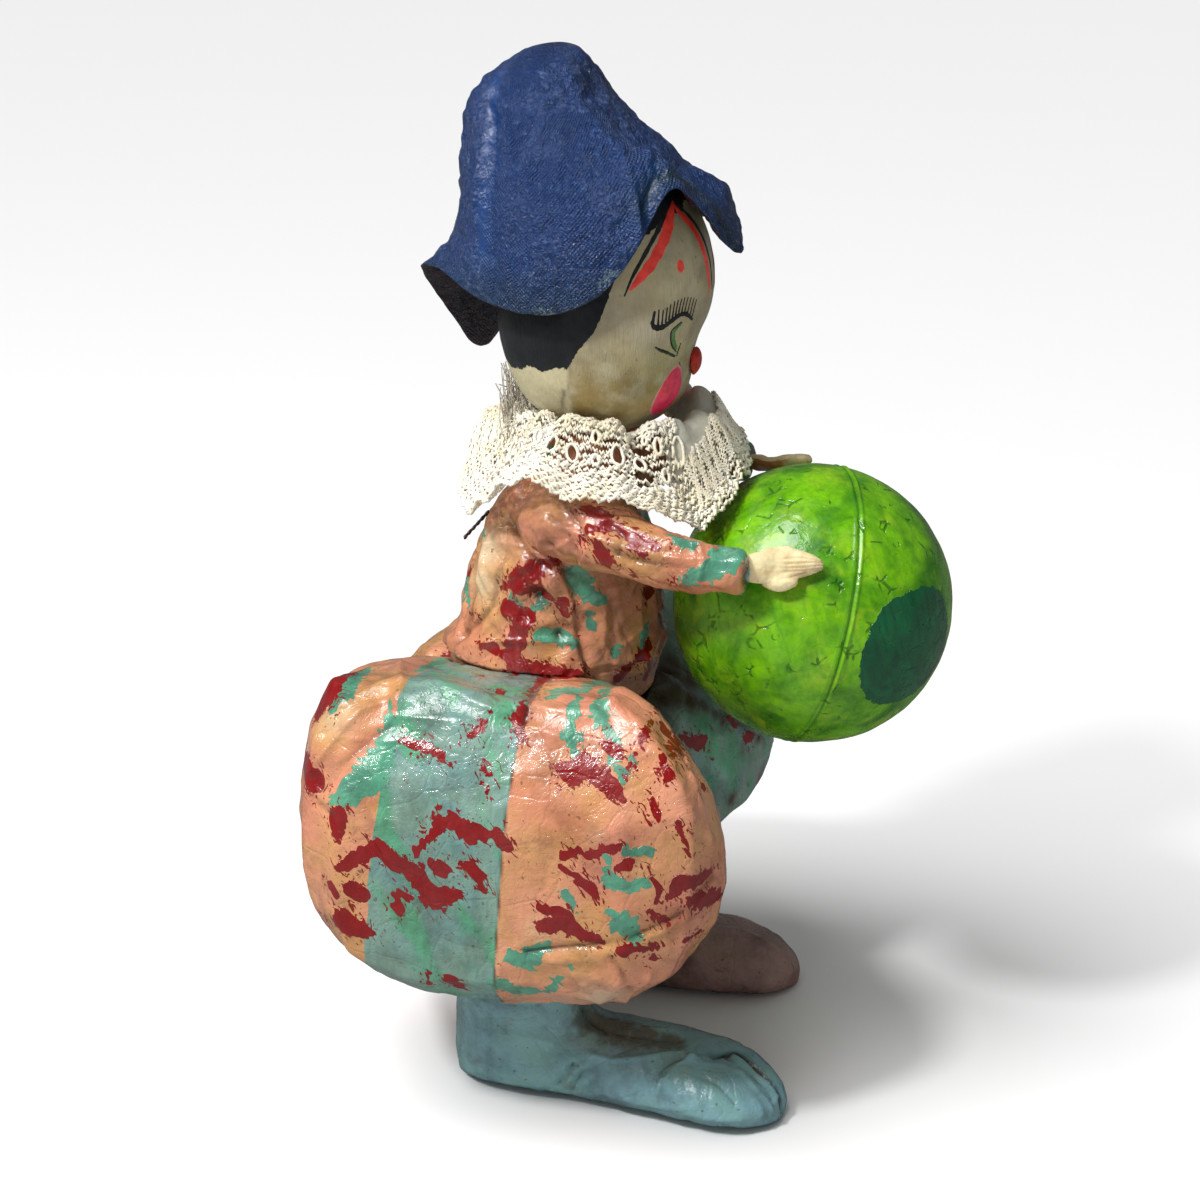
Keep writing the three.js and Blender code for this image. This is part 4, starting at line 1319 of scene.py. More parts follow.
ARMHOLE = [(-33, -16, 161.5), (-28.4, -22.6, 158), (-25, -25.5, 155), (-22, -26, 152.4), (-18, -26.8, 150.7),
           (-14, -26.3, 149.8)]
STRING_FOLD = [(-49, -9, 121.8), (-42, -18, 124), (-32, -25, 128.5), (-21, -27.3, 130.5), (-11, -25.5, 130)]
HEM = [
    (0, 25, 118), (-12, 30, 119), (-28, 27, 119), (-42, 20, 118.5), (-50, 8, 118.5), (-51, -4, 119),
    (-50.1, -11.2, 119.5), (-43.6, -19.6, 119.6), (-31.8, -27.4, 120.8), (-19.8, -31, 121.2),
    (-11.3, -28, 120.8), (-4, -24, 122.5),
    (3, -16, 121), (8, -5, 120), (8, 8, 119.5), (0, 25, 118),
]
FRONT_EDGE = [(-15, -26, 150), (-12, -26, 142), (-11, -25.5, 131), (-9, -25, 122), (-9, -26, 118)]
BACK_PANEL = [(-36.5, -14.5, 160), (-39.0, -17.2, 147), (-41, -17.8, 137), (-44, -15.5, 129)]
BACK_PANEL_FRONT = [(-34.0, -16.3, 159.8), (-31.4, -22.7, 153.6), (-34.1, -22.4, 144.9),
                    (-36.5, -22.0, 136.2), (-43, -17, 128)]
JACKET_FOLDS = [
    # line, width, height
    (STRING_FOLD, 0.6, 1.0),
    (BACK_PANEL, 1.1, 1.1),
    (ARMHOLE, 0.9, -2.0),
    ([(-29, -25, 147), (-24, -27, 151), (-20, -27, 153), (-15, -26, 150)], 0.9, 1.3),
    ([(-30, -25, 142), (-24, -27, 145), (-18, -27, 146), (-13, -26, 144)], 0.8, 0.9),
    ([(-26, -26, 149), (-22, -27, 143), (-19, -27, 138)], 0.7, -1.2),
    ([(-33, -24, 137), (-26, -27, 134), (-19, -27, 135)], 0.8, 0.8),
    ([(-21, -27, 142), (-16, -27, 138), (-13, -26, 134)], 0.7, -1.0),
    ([(-41, -10, 152), (-41, -16, 142), (-42, -17, 131), (-45, -16, 123)], 0.9, -1.0),
    ([(-5, -23, 127), (-2, -21, 120), (0, -19, 114)], 0.7, -1.2),
    ([(4, -13, 139), (3, -12, 127), (5, -9, 114)], 0.8, 0.9),
    ([(-7, -23, 148), (-4, -22, 138), (-5, -22, 128)], 1.0, 0.8),
    ([(-36, 14, 156), (-38, 16, 144), (-43, 14, 130)], 1.0, 1.1),
    ([(-22, 26, 150), (-18, 27, 140), (-20, 28, 128)], 0.9, -1.1),
    ([(-30, 24, 146), (-20, 27, 143), (-8, 25, 146)], 0.9, 1.0),
    ([(-47, 2, 150), (-44, 2, 138), (-49, 0, 126)], 1.0, -1.0),
    ([(2, 16, 144), (6, 14, 132), (8, 10, 122)], 0.9, 1.0),
]

# Marks of paint on the near side of the jacket. Each is its points with the radius at each point.
JACKET_RED = [
    [(-34, -23, 142, 0.8), (-29, -25, 145, 1.4), (-26, -26, 148, 2.4), (-22, -26, 150, 2.8),
     (-16, -26, 153, 1.2)],
    [(-28, -26, 144, 1.4), (-21, -27, 145, 1.8), (-18, -27, 142, 1)],
    [(-31, -25, 138, 2.2), (-24, -27, 137, 2.4), (-26, -26, 132, 2.8), (-28, -27, 128, 2.8),
     (-27, -28, 123, 2.2), (-22, -28, 122, 2)],
    [(-38, -22, 126, 0.7), (-33, -25, 126, 1.5), (-29, -26, 125, 1.2)],
    [(-22, -28, 123, 1.6), (-15, -27, 122, 1.6), (-9, -26, 122, 1)],
    [(-15, -26, 141, 1.7), (-14, -26, 138, 1.2)], [(-1, -20, 118, 1), (2, -15, 121, 2), (5, -10, 125, 1.4)],
    [(4, -11, 140, 0.9)], [(-40, -17, 133, 1), (-38, -19, 135, 0.4)],
]
JACKET_TEAL = [
    [(-29, -26, 142, 1), (-28, -26, 139, 1.5), (-24, -26, 137.5, 1.5), (-20, -27, 141, 1.6)],
    [(-21, -27, 132, 1.7), (-17, -27, 132, 2.6), (-12, -26, 130, 1.6)],
    [(-11, -25, 149, 2.4), (-9, -24, 144, 3.2), (-5, -22, 141, 1.6)], [(-8, -24, 137, 1.4),
                                                                       (-7, -23, 134, 1)],
    [(4, -11, 130, 2), (3, -12, 124, 1.6)], [(-2, -19, 126, 1.6)], [(-44, -8, 140, 3), (-45, -8, 132, 2.4)],
]


class CLOWN_OT_jacket(bpy.types.Operator):
    """Fold the paper jacket"""

    bl_idname = "clown.jacket"
    bl_label = "Jacket"

    def execute(self, context):
        crush, grain = sizes().crush_mm, sizes().grain_mm * 0.85
        made, points, normals = fine_piece("torso", "jacket", "salt_paper", paper_material(), grain, 9)
        heights = 2.2 * crush * crushed(points, 13, 21, 5) + 1.5 * crush * crushed(points, 5.5, 33)
        heights += overlap(points, normals, HEM, 1.9, 7, 0.4)
        heights += overlap(points, normals, FRONT_EDGE, -1.3, 5, 0.35)
        heights += overlap(points, normals, BACK_PANEL_FRONT, -1.2, 4, 0.35)
        heights += folded(points, JACKET_FOLDS)
        heights += creases(points, 90, 41, 8, 1.0)
        heights += 1.2 * spots(points, [(-24, -26.5, 146.5, 4), (-17, -27, 147.5, 3.5)])
        heights -= 2.0 * spots(points, [(-15.8, -26.5, 131.8, 1.4), (-21.5, -26.8, 143.5, 1.8)])
        raise_points(made, heights, points, normals)
        # Painted shade: darker in the pressed folds, along the front edge, in the pressed dent and on the
        # torso just below the hem.
        dark = pressed(points, JACKET_FOLDS, 0.6, 0.6)
        dark += crease(points, rounded_line(FRONT_EDGE), 0.45, 0.8)
        dark += spots(points, [(-15.8, -26.5, 131.8, 1.1)])
        dark += ramp(points[:, 2], 119, 116.5) * 0.5
        hidden = (points[:, 1] > -12) & (points[:, 2] > 112)
        red = painted(points, [*JACKET_RED, *flicked(points, 46, 7, 2.8, hidden)])
        teal = painted(points, [*JACKET_TEAL, *flicked(points, 26, 9, 4.4, hidden)])
        # Pale patches on the back: partly pale paper, partly painted highlight where the light falls.
        pale = 0.8 * spots(points, [(-38, -18, 152, 6), (-39, -19, 143, 5), (-38, 15, 158, 5)])
        keep_zones(made, dark, pale=pale, red=red, teal=teal)
        return {"FINISHED"}


SLEEVES = {
    "right_sleeve": {
        "name": "sleeve_right",
        "end": (33.5, (34.9, -38.5, 158)),
        "folds": [
            ([(-17, -34, 167), (-12, -38, 166), (-1, -42, 165), (12, -45, 163), (25, -44, 162),
              (34, -42, 161)], 0.9, 1.1),
            ([(-16, -38, 160), (-7, -41, 158.5), (4, -44.5, 158), (16, -46.3, 156.5),
              (30, -44.5, 156)], 1.0, 0.9),
            ([(-14, -33, 172), (-6, -38, 171), (4, -40, 169), (14, -42, 167), (28, -41, 165)], 1.0, 1.1),
            ([(-18, -24, 171), (-14, -31, 172.5), (-9, -37, 169), (-5, -41, 165)], 0.8, -1.5),
            ([(-16, -35, 168), (-11, -38, 165), (-8, -40, 161)], 0.8, -1.1),
            ([(-17, -34, 160), (-11, -37, 157), (-1, -41, 156)], 0.8, -1.1),
            ([(-9, -36, 171), (-5, -40, 168), (-3, -42, 165)], 0.7, 1.0),
            ([(1, -40, 169), (5, -42, 166), (4, -44, 162)], 0.6, -0.8),
            ([(-1, -43, 163), (10, -45, 161), (23, -45, 160)], 0.7, -0.8),
            ([(24, -41, 165), (26, -44, 162), (25, -46, 157)], 0.6, 0.9),
            ([(29, -40, 164), (30, -43, 160), (29, -43, 155)], 0.6, -0.9),
        ],
        "red": [
            [(-6, -36, 171, 1.8), (-3, -37, 171, 2.6), (0, -38, 170, 1.6)], [(-4, -40, 167, 1.2),
                                                                             (0, -40, 168, 2),
                                                                             (4, -40, 168, 1.2)],
            [(4, -41, 167, 1.6), (9, -43, 166, 2), (14, -44, 165, 1.8)], [(-8, -41, 164, 1),
                                                                          (-5, -42, 164, 1)],
            [(-1, -43, 163, 1.8), (1, -43, 160, 2.2), (2, -44, 159, 1.4)], [(7, -44, 157, 0.5),
                                                                            (8, -43, 156, 0.4)],
            [(13, -45, 156, 0.7)], [(18, -45, 156, 0.7), (20, -46, 157, 0.4)], [(7, -44, 165, 1.4),
                                                                                (11, -45, 163, 1.2)],
            [(10, -34, 152, 2), (14, -34, 151, 1.2)],
        ],
        "teal": [
            [(17, -40, 167, 1.1), (20, -42, 165, 2), (24, -42, 165, 1)],
            [(27, -46, 159, 2.6), (31, -42, 162, 3.4), (31, -40, 165, 2.6), (35, -40, 163, 3)],
            [(22, -46, 157, 2), (26, -46, 160, 1.6)],
            [(34, -36, 153, 4), (34, -34, 163, 4)],
        ],
    },
    "left_sleeve": {
        "name": "sleeve_left",
        "end": (24.0, (25.4, 31.3, 165.8)),
        "folds": [
            ([(-16, 36, 161), (-5, 39, 161), (6, 41, 162), (20, 39, 163)], 1.0, 1.1),
            ([(-18, 27, 173), (-8, 34, 173.5), (6, 37, 172), (20, 36, 171)], 1.0, 1.1),
            ([(-16, 24, 172), (-10, 32, 172), (-5, 37, 166)], 0.8, -1.4),
            ([(-14, 34, 168), (-8, 38, 166), (-6, 39, 162)], 0.8, 0.9),
            ([(0, 38, 170), (5, 40, 166), (4, 40, 161)], 0.7, -0.9),
        ],
        "red": [
            [(-6, 36, 171, 1.6), (-3, 37, 171, 2.4)], [(3, 41, 163, 2), (6, 41, 164, 1.2)],
            [(9, 38, 169, 1.4), (12, 38, 168, 0.8)],
            [(-2, 38, 159, 1.8)],
        ],
        "teal": [
            [(16, 36, 170, 3), (20, 36, 168, 2)], [(24, 33, 168, 3.5), (22, 36, 163, 3.5), (26, 28, 170, 3)],
            [(24, 30, 160, 4)],
        ],
    },
}


class CLOWN_OT_sleeves(bpy.types.Operator):
    """Fold both paper sleeves"""

    bl_idname = "clown.sleeves"
    bl_label = "Sleeves"

    def execute(self, context):
        crush = sizes().crush_mm
        for node, sleeve in SLEEVES.items():
            made, points, normals = fine_piece(node, sleeve["name"], "salt_paper", paper_material(), 0.55, 4)
            heights = 1.5 * crush * crushed(points, 11, 5, 5) + 1.1 * crush * crushed(points, 4.5, 6)
            heights += creases(points, 36, 14, 7, 0.8)
            heights += folded(points, sleeve["folds"])
            raised = points + normals * heights[:, None]
            start, middle = sleeve["end"]
            cuff = ramp(points[:, 0], start - 4, start + 1)[:, None]
            flare = (points - np.array(middle)) * [0, 1, 1]
            ripple = 0.17 + 0.05 * np.sin(3 * np.arctan2(flare[:, 2], flare[:, 1]) + 1)
            raised += cuff * (flare * ripple[:, None] + np.array([1.3, 0, 0]))
            move_points(made, raised)
            # Painted shade in the pressed folds and inside the cuff's open end.
            dark = pressed(points, sleeve["folds"], 0.5, 0.6)
            dark += 0.8 * ramp(points[:, 0], start + 0.7, start + 1.3)
            keep_zones(made, dark, red=painted(points, sleeve["red"]), teal=painted(points, sleeve["teal"]))
        return {"FINISHED"}


def hand_material():
    shades = colours()
    made, add, socket = new_material("hand_cream", 0.5, coat=0.2)
    place = add.space()
    base = add.mottle(place, shades.hand, (0.66, 0.50, 0.25), 5.0, 0.2)
    # Painted shade in the scored lines between the fingers.
    base = add.tint(base, add.attribute("groove"), 0.8, (0.30, 0.15, 0.05))
    palm = add.ramp(add.plus(add.attribute("palm"), add.times(add.noise(place, 1.5, 4.0), 0.5)), 0.65, 0.95)
    base = add.mix(palm, base, (0.46, 0.20, 0.05))
    cuff = add.ramp(add.plus(add.attribute("cuff"), add.times(add.noise(place, 2.0, 4.0), 0.6)), 0.75, 0.95)
    base = add.mix(cuff, base, (0.20, 0.36, 0.30))
    base = add.grime(place, base, 0.35)
    add.feed(socket["Base Color"], base)
    add.relief(socket, add.bump(add.noise(place, 1.4, 4.0, 0.6), 0.25))
    return made


HANDS = {
    # name, wrist, tip
    "right_hand": ("hand_right", (36.9, -37.5, 158.2), (54.9, -31.0, 157.6)),
    "left_hand": ("hand_left", (27.1, 30.6, 165.4), (44.3, 24.0, 170.4)),
}
SCORES = (-2.9, -1.5, -0.2, 1.1, 2.4)  # the scored lines between the fingers, across the hand


class CLOWN_OT_hands(bpy.types.Operator):
    """Model both mitten hands with their scored fingers"""

    bl_idname = "clown.hands"
    bl_label = "Hands"

    def execute(self, context):
        material = hand_material()
        for node, (name, wrist, tip) in HANDS.items():
            made, points, normals = fine_piece(node, name, "hand_paint", material, 0.4, 6)
            wrist, tip = np.array(wrist), np.array(tip)
            run = tip - wrist
            length = np.linalg.norm(run)
            run /= length
            outward = (wrist + tip) / 2 - BALL_CENTRE
            outward -= (outward @ run) * run
            outward /= np.linalg.norm(outward)
            across = np.cross(outward, run)
            along = (points - wrist) @ run / length
            offset = (points - wrist) @ across
            facing = normals @ outward
            scored = np.zeros(len(points))
            for line in SCORES:
                drift = line * (1 - 0.5 * ramp(along, 0.5, 1)) + 0.3 * np.sin(along * 7 + line)
                scored = np.maximum(scored, bell(offset - drift, 0.26))
            scored *= ramp(along, 0.30, 0.55) * ramp(facing, 0.0, 0.4)
            heights = 0.20 * cloud(points, 3.0, 3) + 0.08 * cloud(points * [0.4, 1, 1], 1.0, 8)
            heights -= 0.26 * scored
            raised = points + normals * heights[:, None]
            rooted = 1 - ramp(along, 0.0, 0.16)
            raised -= run * 1.4 * rooted[:, None]
            slim = ramp(along, 0.35, 1.0) * 0.16
            raised -= across * (offset * slim)[:, None]
            move_points(made, raised)
            # Painted shade in the scored lines.
            store(made, "groove", scored * 0.45)
            store(made, "palm", ramp(-facing, -0.25, 0.3) * bell(along - 0.35, 0.45))
            store(made, "cuff", 1 - ramp(along, -0.05, 0.12))
        return {"FINISHED"}


# ---- Ball ---------------------------------------------------------------------------------------

SEAM_AXIS = Vector((0.92, 0.32, -0.23)).normalized()
SPOT_TOWARDS = Vector((0.80, -0.595, -0.08)).normalized()
SPOT_ANGLE = 26
BEAD_MM = 5.0
BALL_GRID = (220, 150)


def ball_material():
    shades = colours()
    made, add, socket = new_material("ball_paint", 0.30, coat=0.45, coat_roughness=0.12)
    place = add.space()
    base = add.mottle(place, shades.ball, shades.ball_deep, 15.0, 0.20)
    sunny = add.ramp(add.noise(place, 10.0, 5.0, 0.6, 0.5), 0.50, 0.72)
    base = add.tint(base, sunny, 0.7, (0.32, 0.55, 0.008))
    strokes = add.ramp(add.noise(add.space(stretch=(1, 1, 7), turn=(0, 18, 0)), 1.4, 3.0), 0.42, 0.72)
    base = add.tint(base, strokes, 0.35, (0.045, 0.25, 0.006))
    edge = add.cells(place, BEAD_MM, "DISTANCE_TO_EDGE")
    middle = add.cells(place, BEAD_MM)
    outline = add.ramp(edge, 0.055, 0.012)
    corners = add.times(add.ramp(edge, 0.085, 0.02), add.ramp(middle, 0.50, 0.62))
    chosen = add.ramp(add.noise(place, 8.0, 3.0, 0.6), 0.52, 0.60)
    patches = add.ramp(add.noise(add.space(turn=(40, 10, 0)), 9.0, 3.0, 0.6), 0.64, 0.72)
    ring = add.ramp(add.math("ABSOLUTE", add.minus(middle, 0.20)), 0.05, 0.015)
    rings = add.times(ring, add.ramp(add.noise(place, 7.0, 2.0), 0.63, 0.68))
    marks = add.most(add.times(corners, chosen), add.times(outline, patches))
    marks = add.most(marks, add.times(rings, 0.7))
    faint = add.times(outline, 0.10)
    base = add.mix(add.most(add.times(marks, 0.72), faint), base, (0.018, 0.12, 0.004))
    # Painted shade in the seam's groove and beside its weaker lip.
    base = add.tint(base, add.attribute("groove"), 0.75, (0.030, 0.17, 0.006))
    torn = add.times(add.minus(add.noise(place, 2.6, 4.0, 0.65), 0.5), 3.4)
    rim = add.plus(add.attribute("spot"), torn)
    spot = add.ramp(rim, -0.15, 0.15)
    spot_shade = add.mottle(place, shades.ball_spot, (0.006, 0.135, 0.045), 8.0, 0.2)
    spot_shade = add.tint(spot_shade, strokes, 0.5, (0.006, 0.050, 0.030))
    base = add.mix(spot, base, spot_shade)
    base = add.grime(place, base, 0.15)
    add.feed(socket["Base Color"], base)
    add.feed(socket["Roughness"], add.ramp(add.noise(place, 5.0), 0.35, 0.7, 0.22, 0.42))
    dome = add.ramp(edge, 0.0, 0.30, 0.65, 1.0)
    height = add.plus(add.times(dome, 0.35), add.times(add.noise(place, 1.2, 3.0), 0.25))
    height = add.minus(height, add.times(marks, 0.7))
    normal = add.bump(height, 0.36)
    add.relief(socket, add.bump(spot, 0.10, normal))
    return made


class CLOWN_OT_ball(bpy.types.Operator):
    """Model the painted foam ball with its mould seam and bead marks"""

    bl_idname = "clown.ball"
    bl_label = "Ball"

    def execute(self, context):
        shape = bmesh.new()
        turn = SEAM_AXIS.to_track_quat("Z", "Y").to_matrix().to_4x4()
        bmesh.ops.create_uvsphere(shape, u_segments=BALL_GRID[0], v_segments=BALL_GRID[1], radius=1)
        for corner in shape.verts:
            # the rings are drawn together at the seam, where the relief is finest
            spin = math.atan2(corner.co.y, corner.co.x)
            level = math.asin(max(-1, min(1, corner.co.z))) / (math.pi / 2)
            level = math.copysign(abs(level) ** 1.5, level) * math.pi / 2
            wide = math.cos(level)
            corner.co = Vector((math.cos(spin) * wide, math.sin(spin) * wide, math.sin(level)))
        bmesh.ops.transform(shape, matrix=turn, verts=shape.verts)
        mesh = mesh_of(shape, "ball_foam")
        smooth_faces(mesh)
        made = add_object("ball_foam", mesh, ball_material(), replaces=["ball"], slot="green_paint")
        ways = np.empty(len(mesh.vertices) * 3)
        mesh.vertices.foreach_get("co", ways)
        ways = ways.reshape(-1, 3)
        ways /= np.linalg.norm(ways, axis=1)[:, None]
        places = ways * BALL_RADIUS
        off_seam = np.arcsin(np.clip(ways @ np.array(SEAM_AXIS), -1, 1)) * BALL_RADIUS
        seam = 0.60 * (bell(off_seam - 0.95, 0.42) + 0.8 * bell(off_seam + 0.95, 0.42))
        seam -= 0.25 * bell(off_seam, 0.35)
        worn = 0.65 + 0.35 * cloud(places, 14, 2)
        beads = np.array([noise.voronoi(Vector(place / BEAD_MM), exponent=2.5)[0][0] for place in places])
        heights = seam * worn - 0.16 * beads + 0.16 * cloud(places, 9, 6) - 0.35
        move_points(made, BALL_CENTRE + ways * (BALL_RADIUS + heights)[:, None])
        # Painted shade in the seam's groove and beside its weaker lip.
        store(made, "groove", np.clip(bell(off_seam, 0.28) + 0.8 * bell(off_seam + 1.25, 0.25), 0, 1))
        off_spot = np.degrees(np.arccos(np.clip(ways @ np.array(SPOT_TOWARDS), -1, 1)))
        store(made, "spot", np.radians(SPOT_ANGLE - off_spot) * BALL_RADIUS + 1.2 * cloud(places, 16, 11))
        return {"FINISHED"}


# ---- Trousers -----------------------------------------------------------------------------------

PANEL_LEVEL = 92  # the height at which the places of the panel's two edges are given

